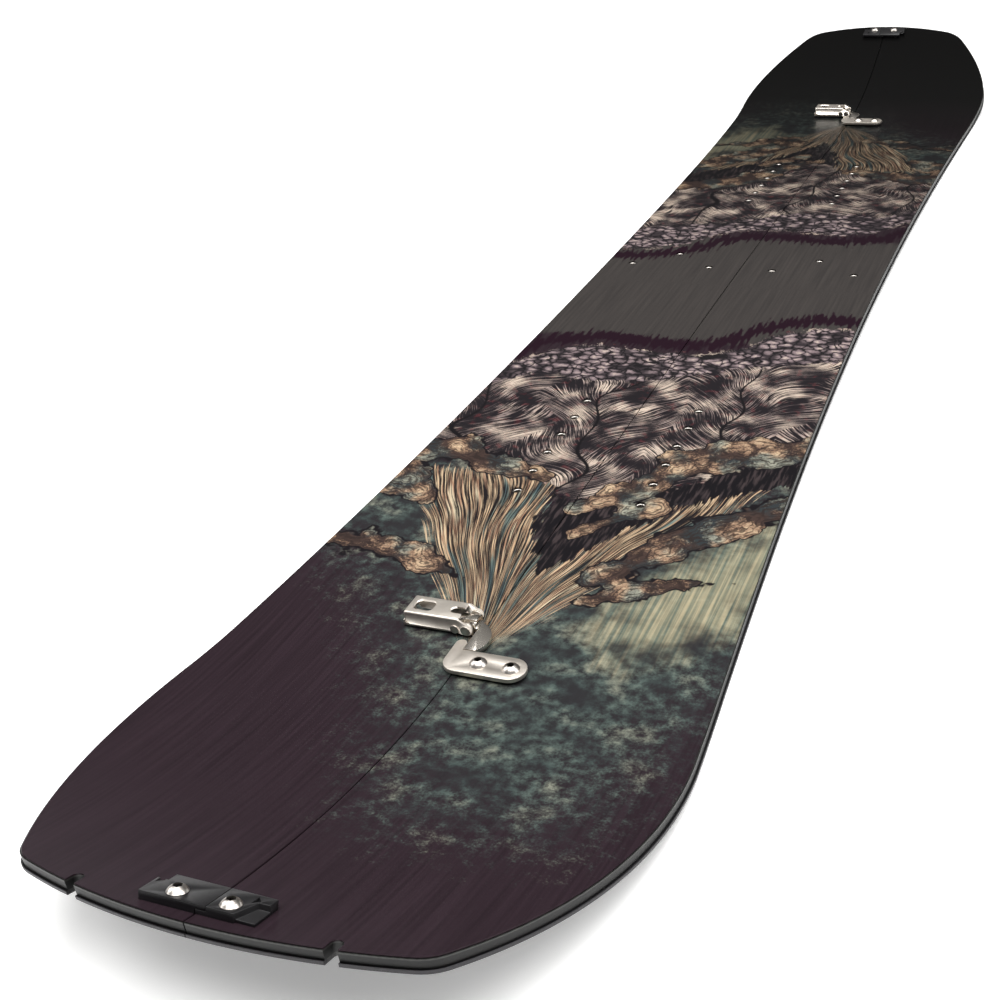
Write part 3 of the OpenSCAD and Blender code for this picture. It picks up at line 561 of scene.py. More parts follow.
# Strips 12 mm wide, glued side by side, with grain along the board
strips = node(tree, "ShaderNodeMapping", {"Vector": place, "Scale": (83, 0.7, 83)})
strip_tone = node(tree, "ShaderNodeTexVoronoi", {"Vector": strips, "Scale": 1.0}, out="Color")
grain_run = node(tree, "ShaderNodeMapping", {"Vector": place, "Scale": (900, 25, 900)})
grain = node(tree, "ShaderNodeTexNoise", {"Vector": grain_run, "Scale": 1.0, "Detail": 5.0})
tones = node(tree, "ShaderNodeMix", {0: grain, 6: linear("#b8935c"), 7: linear("#dcc292")}, **COLOURS)
toned = node(tree, "ShaderNodeMix", {0: 0.25, 6: tones, 7: strip_tone}, blend_type="SOFT_LIGHT", **COLOURS)
tree.links.new(toned, shader.inputs["Base Color"])

# Glass cloth in cured resin over black fleece: dark, smooth and a little shiny
glass_resin, tree, shader = material("glass_laminate", Base_Color=linear("#1b1c1a"), Roughness=0.45)
place = node(tree, "ShaderNodeTexCoord", out="Object")
# Glass cloth under the resin: bundles of fibre 1.5 mm apart
cloth = node(tree, "ShaderNodeTexWave", {"Vector": place, "Scale": 100.0, "Distortion": 1.5})
fibres = node(tree, "ShaderNodeMix", {0: cloth, 6: linear("#141513"), 7: linear("#242522")}, **COLOURS)
tree.links.new(fibres, shader.inputs["Base Color"])

# Milled black ABS: dull, with lines along the wall
abs_plastic, tree, shader = material(
    "black_abs", Base_Color=linear("#0b0b0b"), Roughness=0.42, Specular_IOR_Level=0.3
)
place = node(tree, "ShaderNodeTexCoord", out="Object")
# Mill marks along the wall, a third of a millimetre apart
milled = node(tree, "ShaderNodeMapping", {"Vector": place, "Scale": (60, 60, 3000)})
mill = node(tree, "ShaderNodeTexNoise", {"Vector": milled, "Scale": 1.0, "Detail": 2.0})
spread = node(tree, "ShaderNodeMapRange", {"Value": mill, "To Min": 0.36, "To Max": 0.52})
tree.links.new(spread, shader.inputs["Roughness"])

for side in SIDES:
    keep_node(f"{side}_core", wood)
    keep_node(f"{side}_lower_laminate", glass_resin)
    keep_node(f"{side}_inner_sidewall", abs_plastic)
    wall = rim_strip(
        f"{side}_wall", side, (edge_height, core_top), wall_inset, wall_inset + wall_width, abs_plastic,
        span=spacer_ends,
    )
    stand(smooth(wall), f"{side}_outer_sidewall", f"{side}_half")
    for end, span in (("tail", (-half_length, spacer_ends[0])), ("nose", (spacer_ends[1], half_length))):
        filler = layer(
            f"{side}_{end}_filler", side, (edge_height, core_top), wall_inset, wall_face, abs_plastic,
            span=span,
        )
        if end == "tail":
            filler = carved(filler, notch_cutter(side))
        filler = carved(filler, hole_cutter(side, barrel_hole))
        stand(smooth(filler), f"{side}_{end}_spacer", f"{side}_half")

# --- Upper laminate ---
# Glass cloth in resin, pressed over the whole core and drilled where the inserts come through.
# Its rim shows as a thin line above the sidewall.

laminate_top = 6.8
for side in SIDES:
    cover = layer(f"{side}_glass", side, (core_top, laminate_top), wall_inset, wall_face, glass_resin)
    cover = carved(carved(cover, notch_cutter(side)), hole_cutter(side, barrel_hole))
    stand(smooth(cover), f"{side}_upper_laminate", f"{side}_half")

# --- Topsheets ---
# Glossy plastic sheet, printed from below, with its upper edge rounded by hand after pressing.
# The print is one picture for a tail half, and the nose half carries it turned end for end.

deck_inset, deck_chamfer, deck_columns, barrel_window = 1.6, 0.25, 44, 7.0
# Middle of the board, where the two pictures meet, in mm
print_middle = -11.0


def to_segments(points, places):
    """Distance of every place from each segment of a path, and how far along the segment."""
    a, b = points[:-1, None, :2], points[1:, None, :2]
    run = b - a
    along = ((places - a) * run).sum(-1) / (run * run).sum(-1)
    along = np.clip(along, 0, 1)
    return np.linalg.norm(places - (a + along[..., None] * run), axis=-1), along


def area(points, places):
    """Signed distance into a closed outline, in mm: positive inside."""
    path = np.array(points + points[:1], float)
    distance = to_segments(path, places)[0].min(axis=0)
    x, y = places[:, 0], places[:, 1]
    inside = np.zeros(len(places), bool)
    for (x1, y1), (x2, y2) in zip(path[:-1], path[1:]):
        crosses = (y1 > y) != (y2 > y)
        with np.errstate(divide="ignore", invalid="ignore"):
            inside ^= crosses & (x < (x2 - x1) * (y - y1) / (y2 - y1) + x1)
    return np.where(inside, distance, -distance)


def band(points, places):
    """Signed distance into a band along a path whose points each give x, y and half width."""
    path = np.array(points, float)
    distance, along = to_segments(path, places)
    width = path[:-1, None, 2] + along * (path[1:, None, 2] - path[:-1, None, 2])
    return (width - distance).max(axis=0)


# Paths of the billows that cross the print: x, distance from the middle and half width, in mm
billows = (
    [(-135, 318, 16), (-105, 312, 17), (-75, 324, 12), (-45, 333, 8), (-28, 338, 4)],
    [(-135, 352, 22), (-118, 358, 18), (-100, 372, 10)],
    [(-135, 430, 9), (-105, 432, 10), (-80, 436, 12), (-55, 446, 9), (-38, 452, 5)],
    [(2, 366, 5), (22, 352, 9), (38, 330, 13), (55, 300, 17), (80, 283, 18), (112, 272, 16), (140, 262, 15)],
    [(14, 392, 4), (34, 372, 7), (50, 356, 9)],
    [(40, 440, 9), (56, 420, 12), (72, 396, 15), (92, 372, 16), (112, 352, 14), (140, 338, 14)],
    [(48, 456, 6), (70, 442, 9), (98, 428, 6), (128, 420, 3)],
)
# Outlines of the print's areas: x and distance from the middle, in mm
fields = {
    "charcoal": [(-200, -20), (200, -20), (200, 108), (-200, 124)],
    "etched": [
        (-150, 190), (-118, 172), (-96, 146), (-66, 134), (-20, 140), (18, 138), (44, 122),
        (66, 92), (96, 74), (150, 76), (150, 250), (120, 262), (62, 326), (20, 352), (0, 364),
        (-27, 338), (-80, 318), (-150, 306),
    ],
    "gravel": [
        (-150, 205), (-118, 178), (-96, 148), (-66, 136), (-20, 142), (18, 140), (44, 124),
        (66, 94), (96, 76), (150, 78), (150, 118), (96, 140), (40, 160), (0, 186), (-50, 196),
        (-96, 188), (-122, 214), (-150, 240),
    ],
    "wedge": [
        (-28, 336), (0, 362), (60, 300), (150, 240), (150, 300), (112, 320), (66, 352), (40, 388),
        (22, 420), (10, 440), (-12, 400), (-18, 352),
    ],
    "fall": [
        (-112, 340), (-60, 338), (-22, 340), (-14, 392), (6, 436), (22, 416), (50, 372), (84, 330),
        (112, 322), (66, 400), (30, 470), (4, 512), (-22, 486), (-52, 446), (-84, 396),
    ],
    "wash": [
        (-150, 318), (-60, 330), (0, 400), (60, 380), (150, 286), (150, 500), (118, 560), (92, 632),
        (30, 640), (4, 590), (-28, 528), (-62, 478), (-100, 446), (-150, 420),
    ],
    "glow": [(150, 345), (124, 378), (98, 402), (80, 432), (62, 472), (82, 496), (112, 480), (150, 432)],
}
# The streaks run together at this point, and one radian of the fan counts as this many mm
fan_point, fan_spread = (3.0, 524.0), 60


def marked(piece, side):
    """Stores where every point lies in the print and how deep inside each area of it."""
    count = len(piece.data.vertices)
    spots = np.empty(count * 3)
    piece.data.vertices.foreach_get("co", spots)
    spots = spots.reshape(-1, 3) / MM
    nose = spots[:, 1] > print_middle
    places = np.column_stack((np.where(nose, -spots[:, 0], spots[:, 0]), abs(spots[:, 1] - print_middle)))
    # The nose half takes another stretch of every noise, so that the two pictures differ
    sheet = np.column_stack((places, nose * 900.0))
    piece.data.attributes.new("print", "FLOAT_VECTOR", "POINT").data.foreach_set("vector", sheet.ravel())
    values = {name: area(points, places) for name, points in fields.items()}
    values["billow"] = np.max([band(path, places) for path in billows], axis=0)
    aim = places - fan_point
    values["fan"] = np.arctan2(aim[:, 0], -aim[:, 1]) * fan_spread
    for name, value in values.items():
        piece.data.attributes.new(name, "FLOAT", "POINT").data.foreach_set("value", value)
    return piece


# Gloss plastic over ink: deep dark colours with a thin soft sheen
printed, tree, shader = material("printed_gloss_topsheet", Roughness=0.3, Specular_IOR_Level=0.08)
where = node(tree, "ShaderNodeAttribute", out="Vector", attribute_name="print")
inside = {
    name: node(tree, "ShaderNodeAttribute", out="Fac", attribute_name=name)
    for name in (*fields, "billow", "fan")
}


def ragged(name, reach, roughness, noise, amount=1.0):
    """How much of an area's ink lies at a point: its border is broken up by a noise."""
    torn = node(tree, "ShaderNodeMath", {0: noise, 1: 0.5}, operation="SUBTRACT")
    torn = node(tree, "ShaderNodeMath", {0: torn, 1: roughness, 2: inside[name]}, operation="MULTIPLY_ADD")
    return node(
        tree,
        "ShaderNodeMapRange",
        {"Value": torn, "From Min": -reach, "From Max": reach, "To Min": 0.0, "To Max": amount},
        interpolation_type="SMOOTHSTEP",
    )


def with_stops(colour, *stops):
    """Sets the stops of a colour ramp, each a position and a hex colour, and returns its colour."""
    ramp = colour.node.color_ramp
    while len(ramp.elements) < len(stops):
        ramp.elements.new(0.5)
    for element, (position, tone) in zip(ramp.elements, stops):
        element.position = position
        element.color = linear(tone)
    return colour


# Cloudy noises of the print, whose features are 25, 6 and 1.5 mm wide
broad = node(tree, "ShaderNodeTexNoise", {"Vector": where, "Scale": 0.04, "Detail": 4.0})
middling = node(tree, "ShaderNodeTexNoise", {"Vector": where, "Scale": 0.16, "Detail": 5.0})
fine = node(tree, "ShaderNodeTexNoise", {"Vector": where, "Scale": 0.7, "Detail": 5.0, "Roughness": 0.65})
# Slow waves 60 mm long, without detail, that bend the drawn lines
waves = node(tree, "ShaderNodeTexNoise", {"Vector": where, "Scale": 0.017, "Detail": 0.0})

# Plain ground: purple charcoal at the ends, grey charcoal in the middle
down = node(tree, "ShaderNodeMapping", {"Vector": where, "Scale": (0.5, 0.012, 1)})
drag = node(tree, "ShaderNodeTexNoise", {"Vector": down, "Scale": 1.0, "Detail": 4.0})
ends_tone = node(tree, "ShaderNodeValToRGB", {0: drag})
ends_tone = with_stops(ends_tone, (0.3, "#241b20"), (0.7, "#2f242a"))
middle_tone = node(tree, "ShaderNodeValToRGB", {0: drag})
middle_tone = with_stops(middle_tone, (0.3, "#343130"), (0.7, "#403c3a"))
middle_in = ragged("charcoal", 6, 20, middling)
ink = node(tree, "ShaderNodeMix", {0: middle_in, 6: ends_tone, 7: middle_tone}, **COLOURS)

# Maroon fringe in brush strokes 3 mm wide and 25 mm long, at the border of the charcoal
strokes_run = node(tree, "ShaderNodeMapping", {"Vector": where, "Scale": (0.3, 0.045, 1)})
strokes = node(tree, "ShaderNodeTexNoise", {"Vector": strokes_run, "Scale": 1.0, "Detail": 3.0})
fringe = node(tree, "ShaderNodeMath", {0: inside["etched"], 1: -16.0}, operation="SUBTRACT")
fringe = node(tree, "ShaderNodeMath", {0: fringe}, operation="ABSOLUTE")
fringe = node(tree, "ShaderNodeMath", {0: strokes, 1: 46.0, 2: fringe}, operation="MULTIPLY_ADD")
fringe = node(tree, "ShaderNodeMapRange", {"Value": fringe, "From Min": 34.0, "From Max": 30.0})
ink = node(tree, "ShaderNodeMix", {0: fringe, 6: ink, 7: linear("#20101a")}, **COLOURS)

# Wash: grey-green mist that dissolves into specks towards the tip
mist = node(tree, "ShaderNodeValToRGB", {0: broad})
mist = with_stops(mist, (0.34, "#2c2d2f"), (0.45, "#3f4a48"), (0.55, "#586660"), (0.68, "#85887a"))
grit = node(tree, "ShaderNodeMath", {0: fine, 1: 0.5, 2: middling}, operation="MULTIPLY_ADD")
grit = node(tree, "ShaderNodeMapRange", {"Value": grit, "From Min": 0.6, "From Max": 0.95})
mist = node(tree, "ShaderNodeMix", {0: grit, 6: linear("#2a2b2c"), 7: mist}, **COLOURS)
mist_field = node(tree, "ShaderNodeMath", {0: middling, 1: 0.6, 2: fine}, operation="MULTIPLY_ADD")
mist_field = node(tree, "ShaderNodeMath", {0: mist_field, 1: 0.3}, operation="SUBTRACT")
wash_in = ragged("wash", 42, 110, mist_field, 0.85)
ink = node(tree, "ShaderNodeMix", {0: wash_in, 6: ink, 7: mist}, **COLOURS)
# Pale glow beside the billows, in streaks along the board
glow_tone = node(tree, "ShaderNodeValToRGB", {0: drag})
glow_tone = with_stops(glow_tone, (0.3, "#56655d"), (0.5, "#8d8a73"), (0.66, "#b5a98a"))
glow_in = ragged("glow", 22, 90, broad, 0.75)
ink = node(tree, "ShaderNodeMix", {0: glow_in, 6: ink, 7: glow_tone}, **COLOURS)

# Streaks that fall towards the tip, up to 1 mm wide, in peach, cream, brown and teal
along = node(tree, "ShaderNodeSeparateXYZ", {"Vector": where}, out="Y")
bent = node(tree, "ShaderNodeMath", {0: waves, 1: 9.0, 2: inside["fan"]}, operation="MULTIPLY_ADD")
fanned = node(tree, "ShaderNodeCombineXYZ", {"X": bent, "Y": along})
streaks = node(tree, "ShaderNodeMapping", {"Vector": fanned, "Scale": (2.3, 0.02, 1)})
streaks = node(
    tree, "ShaderNodeTexNoise", {"Vector": streaks, "Scale": 1.0, "Detail": 5.0, "Roughness": 0.65}
)
colours = node(
    tree, "ShaderNodeMapping", {"Vector": fanned, "Scale": (0.35, 0.012, 1), "Location": (40, 0, 0)}
)
colours = node(tree, "ShaderNodeTexNoise", {"Vector": colours, "Scale": 1.0, "Detail": 3.0})
fall_tone = with_stops(
    node(tree, "ShaderNodeValToRGB", {0: colours}),
    (0.32, "#3d4e55"),
    (0.4, "#6c7b74"),
    (0.46, "#b09073"),
    (0.52, "#ccb595"),
    (0.58, "#96705a"),
    (0.68, "#d6c9ab"),
)
cut_lines = node(tree, "ShaderNodeMapRange", {"Value": streaks, "From Min": 0.46, "From Max": 0.6})
fall_tone = node(tree, "ShaderNodeMix", {0: cut_lines, 6: linear("#1d1a1c"), 7: fall_tone}, **COLOURS)
fall_in = ragged("fall", 1.5, 46, streaks)
ink = node(tree, "ShaderNodeMix", {0: fall_in, 6: ink, 7: fall_tone}, **COLOURS)

# Dark wedge beside the fall, hatched thinly
hatch = node(tree, "ShaderNodeMapping", {"Vector": where, "Scale": (0.4, 0.05, 1), "Rotation": (0, 0, 0.5)})
hatch = node(tree, "ShaderNodeTexNoise", {"Vector": hatch, "Scale": 1.0, "Detail": 3.0})
wedge_tone = node(tree, "ShaderNodeValToRGB", {0: hatch})
wedge_tone = with_stops(wedge_tone, (0.5, "#171518"), (0.62, "#3b3334"))
wedge_in = ragged("wedge", 1.0, 30, strokes)
ink = node(tree, "ShaderNodeMix", {0: wedge_in, 6: ink, 7: wedge_tone}, **COLOURS)

# Etched ground: strokes about 1 mm wide that lean both ways from dark ribs 92 mm apart, like the
# veins of a leaf
across = node(tree, "ShaderNodeSeparateXYZ", {"Vector": where}, out="X")
sway = node(tree, "ShaderNodeMath", {0: waves, 1: 70.0, 2: across}, operation="MULTIPLY_ADD")
sway = node(tree, "ShaderNodeMath", {0: sway, 1: 12.0}, operation="SUBTRACT")
rib = node(tree, "ShaderNodeMath", {0: sway, 1: 46.0}, operation="PINGPONG")
lean = node(tree, "ShaderNodeMath", {0: rib, 1: 1.1, 2: along}, operation="MULTIPLY_ADD")
reach = node(tree, "ShaderNodeMath", {0: along, 1: -0.9, 2: rib}, operation="MULTIPLY_ADD")
engraved = node(tree, "ShaderNodeCombineXYZ", {"X": lean, "Y": reach})
engraved = node(tree, "ShaderNodeMapping", {"Vector": engraved, "Scale": (0.95, 0.03, 1)})
stroke = node(tree, "ShaderNodeTexNoise", {"Vector": engraved, "Scale": 1.0, "Detail": 3.0, "Roughness": 0.6})
stroke = node(tree, "ShaderNodeMath", {0: broad, 1: 0.6, 2: stroke}, operation="MULTIPLY_ADD")
stroke = node(tree, "ShaderNodeMapRange", {"Value": stroke, "From Min": 0.8, "From Max": 0.93})
hatch_ink = node(tree, "ShaderNodeValToRGB", {0: broad})
hatch_ink = with_stops(hatch_ink, (0.36, "#685a5b"), (0.5, "#9a8a84"), (0.62, "#c6b5a5"))
rib_ink = node(tree, "ShaderNodeMix", {0: stroke, 6: linear("#201d20"), 7: hatch_ink}, **COLOURS)
blush = node(
    tree, "ShaderNodeMapRange", {"Value": middling, "From Min": 0.56, "From Max": 0.68, "To Max": 0.5}
)
rib_ink = node(tree, "ShaderNodeMix", {0: blush, 6: rib_ink, 7: linear("#5b2a2e")}, **COLOURS)
vein = node(tree, "ShaderNodeMapRange", {"Value": rib, "From Min": 0.8, "From Max": 1.8})
rib_ink = node(tree, "ShaderNodeMix", {0: vein, 6: linear("#171517"), 7: rib_ink}, **COLOURS)
etched_in = ragged("etched", 1.2, 26, middling)
ink = node(tree, "ShaderNodeMix", {0: etched_in, 6: ink, 7: rib_ink}, **COLOURS)

# Gravel: rounded stones 4 to 8 mm wide with dark joints between them
squash = node(tree, "ShaderNodeMapping", {"Vector": where, "Scale": (1, 1.35, 1)})
jolt = node(tree, "ShaderNodeTexNoise", {"Vector": where, "Scale": 0.1}, out="Color")
shift = node(tree, "ShaderNodeVectorMath", {0: jolt, 1: (14, 14, 0), 2: squash}, operation="MULTIPLY_ADD")
joints = node(tree, "ShaderNodeTexVoronoi", {"Vector": shift, "Scale": 0.11}, feature="DISTANCE_TO_EDGE")
joints = node(tree, "ShaderNodeMapRange", {"Value": joints, "From Min": 0.03, "From Max": 0.1})
stone = node(tree, "ShaderNodeTexVoronoi", {"Vector": shift, "Scale": 0.11}, out="Distance")
stone = node(tree, "ShaderNodeValToRGB", {0: stone})
stone = with_stops(stone, (0.05, "#b9a99d"), (0.3, "#88787a"), (0.6, "#3a3336"))
stone = node(tree, "ShaderNodeMix", {0: joints, 6: linear("#1c1a1c"), 7: stone}, **COLOURS)
pits = node(tree, "ShaderNodeMapRange", {"Value": fine, "From Min": 0.5, "From Max": 0.7, "To Max": 0.6})
stone = node(tree, "ShaderNodeMix", {0: pits, 6: stone, 7: linear("#2a2527")}, **COLOURS)
gravel_in = ragged("gravel", 1.2, 24, middling)
ink = node(tree, "ShaderNodeMix", {0: gravel_in, 6: ink, 7: stone}, **COLOURS)

# Billows: scalloped bands 10 to 35 mm wide of puffs 20 mm across, with small puffs on them. Each
# is shaded from a pale middle to a dark rim and drawn over with curved lines.
curl = node(tree, "ShaderNodeVectorMath", {0: jolt, 1: (11, 11, 0), 2: where}, operation="MULTIPLY_ADD")
puffs = node(
    tree,
    "ShaderNodeTexVoronoi",
    {"Vector": curl, "Scale": 0.045, "Smoothness": 0.6},
    out="Distance",
    feature="SMOOTH_F1",
)
puff_rims = node(tree, "ShaderNodeTexVoronoi", {"Vector": curl, "Scale": 0.045}, feature="DISTANCE_TO_EDGE")
small_puffs = node(tree, "ShaderNodeTexVoronoi", {"Vector": curl, "Scale": 0.15}, out="Distance")
bulge = node(tree, "ShaderNodeMath", {0: puffs, 1: -18.0, 2: inside["billow"]}, operation="MULTIPLY_ADD")
bulge = node(tree, "ShaderNodeMath", {0: small_puffs, 1: -6.0, 2: bulge}, operation="MULTIPLY_ADD")
bulge = node(tree, "ShaderNodeMath", {0: bulge, 1: 12.5}, operation="ADD")
shade = node(tree, "ShaderNodeMath", {0: fine, 1: 1.1, 2: puffs}, operation="MULTIPLY_ADD")
shade = node(tree, "ShaderNodeMath", {0: small_puffs, 1: 0.5, 2: shade}, operation="MULTIPLY_ADD")
shade = node(tree, "ShaderNodeMapRange", {"Value": shade, "From Min": 0.65, "From Max": 1.75})
warm_tone = node(tree, "ShaderNodeValToRGB", {0: shade})
warm_tone = with_stops(warm_tone, (0.1, "#c2aa8c"), (0.42, "#8a705c"), (0.62, "#40332f"))
cool_tone = node(tree, "ShaderNodeValToRGB", {0: shade})
cool_tone = with_stops(cool_tone, (0.1, "#9b9b8c"), (0.42, "#6b6c63"), (0.62, "#303436"))
warm_in = node(tree, "ShaderNodeMapRange", {"Value": broad, "From Min": 0.42, "From Max": 0.52})
puff_tone = node(tree, "ShaderNodeMix", {0: warm_in, 6: cool_tone, 7: warm_tone}, **COLOURS)
rim_lines = node(
    tree, "ShaderNodeMapRange", {"Value": puff_rims, "From Min": 0.0, "From Max": 0.05, "To Min": 0.45}
)
puff_tone = node(tree, "ShaderNodeMix", {0: rim_lines, 6: linear("#2c2422"), 7: puff_tone}, **COLOURS)
arcs = node(tree, "ShaderNodeMath", {0: bulge, 1: 1.5}, operation="MULTIPLY")
arcs = node(tree, "ShaderNodeMath", {0: arcs}, operation="SINE")
arcs = node(tree, "ShaderNodeMath", {0: middling, 1: 4.0, 2: arcs}, operation="MULTIPLY_ADD")
arcs = node(
    tree,
    "ShaderNodeMapRange",
    {"Value": arcs, "From Min": 1.2, "From Max": 2.0, "To Min": 0.25, "To Max": 1.0},
)
puff_tone = node(tree, "ShaderNodeMix", {0: arcs, 6: linear("#2c2422"), 7: puff_tone}, **COLOURS)
outline_in = node(tree, "ShaderNodeMapRange", {"Value": bulge, "From Min": -1.2, "From Max": -0.2})
ink = node(tree, "ShaderNodeMix", {0: outline_in, 6: ink, 7: linear("#191619")}, **COLOURS)
puffs_in = node(tree, "ShaderNodeMapRange", {"Value": bulge, "From Min": 0.8, "From Max": 1.8})
ink = node(tree, "ShaderNodeMix", {0: puffs_in, 6: ink, 7: puff_tone}, **COLOURS)

# Painted shade: the colour darkens to near black towards the nose, where the light falls off along the board,
# and a grain of a fifth of a millimetre softens the whole print
place = node(tree, "ShaderNodeTexCoord", out="Object")
nose_shade = node(tree, "ShaderNodeSeparateXYZ", {"Vector": place}, out="Y")
nose_shade = node(
    tree, "ShaderNodeMapRange", {"Value": nose_shade, "From Min": 0.05, "From Max": 0.6, "To Max": 0.99}
)
ink = node(tree, "ShaderNodeMix", {0: nose_shade, 6: ink, 7: linear("#050505")}, **COLOURS)
speck = node(tree, "ShaderNodeTexNoise", {"Vector": place, "Scale": 5000.0, "Detail": 1.0})
speck = with_stops(node(tree, "ShaderNodeValToRGB", {0: speck}), (0.35, "#303030"), (0.65, "#d0d0d0"))
ink = node(tree, "ShaderNodeMix", {0: 0.12, 6: ink, 7: speck}, blend_type="SOFT_LIGHT", **COLOURS)
tree.links.new(ink, shader.inputs["Base Color"])
# Faint orange peel of the pressed sheet, 4 mm across
peel = node(tree, "ShaderNodeTexNoise", {"Vector": place, "Scale": 250.0, "Detail": 1.0})
peeled = node(tree, "ShaderNodeBump", {"Height": peel, "Strength": 0.05, "Distance": 0.0002})
tree.links.new(peeled, shader.inputs["Normal"])

for side in SIDES:
    sheet = layer(
        f"{side}_print", side, (laminate_top, deck_top), deck_inset, wall_face, printed,
        chamfer=deck_chamfer, columns=deck_columns,
    )
    sheet = carved(carved(sheet, notch_cutter(side)), hole_cutter(side, barrel_window))
    stand(marked(smooth(sheet), side), f"{side}_topsheet", f"{side}_half")

# --- Threaded inserts ---
# Stainless nuts pressed up into the core from below before the board is laid up. Twelve take
# the bindings of each half, three the touring hardware, and the rest the clips and connectors.

insert_foot, insert_head = -(deck_top - edge_height) + 0.2, -(deck_top - laminate_top) - 0.4
insert_bore, insert_barrel, insert_flange, flange_height, insert_ease = 2.5, 4.5, 7.0, 1.0, 0.3


def lathe(mesh, profile, sides=40):
    """Turns a closed profile of radius and height about z."""
    rings = []
    for r, z in profile:
        if r < 1e-9:
            rings.append([mesh.verts.new((0, 0, z))])
            continue
        turns = [2 * math.pi * i / sides for i in range(sides)]
        rings.append([mesh.verts.new((r * math.cos(t), r * math.sin(t), z)) for t in turns])
    for low, high in zip(rings, rings[1:] + rings[:1]):
        for i in range(sides):
            k = (i + 1) % sides
            corners = [low[i % len(low)], low[k % len(low)], high[k % len(high)], high[i % len(high)]]
            unique = list(dict.fromkeys(corners))
            if len(unique) > 2:
                mesh.faces.new(unique)


def repeated(name, part, frames, finish):
    """One plain mesh with the part at every frame, each turned by chance about its own axis."""
    points = bpy.data.meshes.new(name)
    points.from_pydata([place.translation * MM for place in frames], [], [])
    leans = points.attributes.new("lean", "FLOAT_VECTOR", "POINT")
    leans.data.foreach_set("vector", [a for place in frames for a in place.to_euler()])
    made = bpy.data.objects.new(name, points)
    bpy.context.scene.collection.objects.link(made)
    tree = bpy.data.node_groups.new(f"{name}_repeat", "GeometryNodeTree")
    socket = tree.interface.new_socket
    socket(name="Geometry", in_out="INPUT", socket_type="NodeSocketGeometry")
    chosen = {
        socket(name="Part", in_out="INPUT", socket_type="NodeSocketObject").identifier: part,
        socket(name="Finish", in_out="INPUT", socket_type="NodeSocketMaterial").identifier: finish,
        socket(name="Seed", in_out="INPUT", socket_type="NodeSocketInt").identifier: 7,
    }
    socket(name="Geometry", in_out="OUTPUT", socket_type="NodeSocketGeometry")
    given = tree.nodes.new("NodeGroupInput").outputs
    shape = node(tree, "GeometryNodeObjectInfo", {"Object": given["Part"]}, out="Geometry")
    lean = node(tree, "GeometryNodeInputNamedAttribute", {"Name": "lean"}, data_type="FLOAT_VECTOR")
    lean = node(tree, "FunctionNodeEulerToRotation", {0: lean})
    turn = {"Max": 2 * math.pi, "Seed": given["Seed"]}
    turn = node(tree, "FunctionNodeRandomValue", turn, out="Value", data_type="FLOAT")
    spin = node(tree, "FunctionNodeAxisAngleToRotation", {"Axis": (0, 0, 1), "Angle": turn})
    turned = node(tree, "FunctionNodeRotateRotation", {0: lean, 1: spin}, rotation_space="LOCAL")
    copies = {"Points": given["Geometry"], "Instance": shape, "Rotation": turned}
    copies = node(tree, "GeometryNodeInstanceOnPoints", copies)
    plain = node(tree, "GeometryNodeRealizeInstances", {0: copies})
    painted = node(tree, "GeometryNodeSetMaterial", {"Geometry": plain, "Material": given["Finish"]})
    node(tree, "NodeGroupOutput", {"Geometry": painted})
    change = made.modifiers.new("repeat", "NODES")
    change.node_group = tree
    for identifier, value in chosen.items():
        change[identifier] = value
    evaluated = made.evaluated_get(bpy.context.evaluated_depsgraph_get())
    result = bpy.data.meshes.new_from_object(evaluated)
    made.modifiers.clear()
    made.data = result
    bpy.data.objects.remove(part)
    return made


def insert_part():
    """One insert: a flange at the bottom and a bored barrel."""
    flange_top = insert_foot + flange_height
    profile = [(insert_bore, insert_foot), (insert_flange, insert_foot), (insert_flange, flange_top)]
    profile += [(insert_barrel, flange_top), (insert_barrel, insert_head - insert_ease)]
    profile += [(insert_barrel - insert_ease, insert_head), (insert_bore + insert_ease, insert_head)]
    profile.append((insert_bore, insert_head - insert_ease))
    return smooth(solid("insert", lambda mesh: lathe(mesh, profile)))


# Turned stainless steel: bright, with a soft shine
turned_steel, tree, shader = material("turned_stainless", Metallic=1.0, Roughness=0.3)
place = node(tree, "ShaderNodeTexCoord", out="Object")
# Tool marks a third of a millimetre apart
turning = node(tree, "ShaderNodeMapping", {"Vector": place, "Scale": (900, 900, 5000)})
marks = node(tree, "ShaderNodeTexNoise", {"Vector": turning, "Scale": 1.0, "Detail": 2.0})
spread = node(tree, "ShaderNodeMapRange", {"Value": marks, "To Min": 0.22, "To Max": 0.4})
tree.links.new(spread, shader.inputs["Roughness"])
# The sockets of the screws are painted dark: painted shade in the recess, where little light gets in
socket_shade = node(tree, "ShaderNodeAttribute", out="Fac", attribute_name="recess")
socket_shade = node(tree, "ShaderNodeMix", {0: socket_shade, 6: linear("#cfc9c2"), 7: linear("#1d1a18")}, **COLOURS)
tree.links.new(socket_shade, shader.inputs["Base Color"])

for side in SIDES:
    made = repeated(f"{side}_nuts", insert_part(), insert_frames(side), turned_steel)
    stand(made, f"{side}_inserts", f"{side}_half")

# --- Clip pads and spacers ---
# Black nylon, moulded to lie on the curved deck. The pad is under the lever's base, and the
# thicker spacer lifts the catch plate to the hook. The screws hold them down.


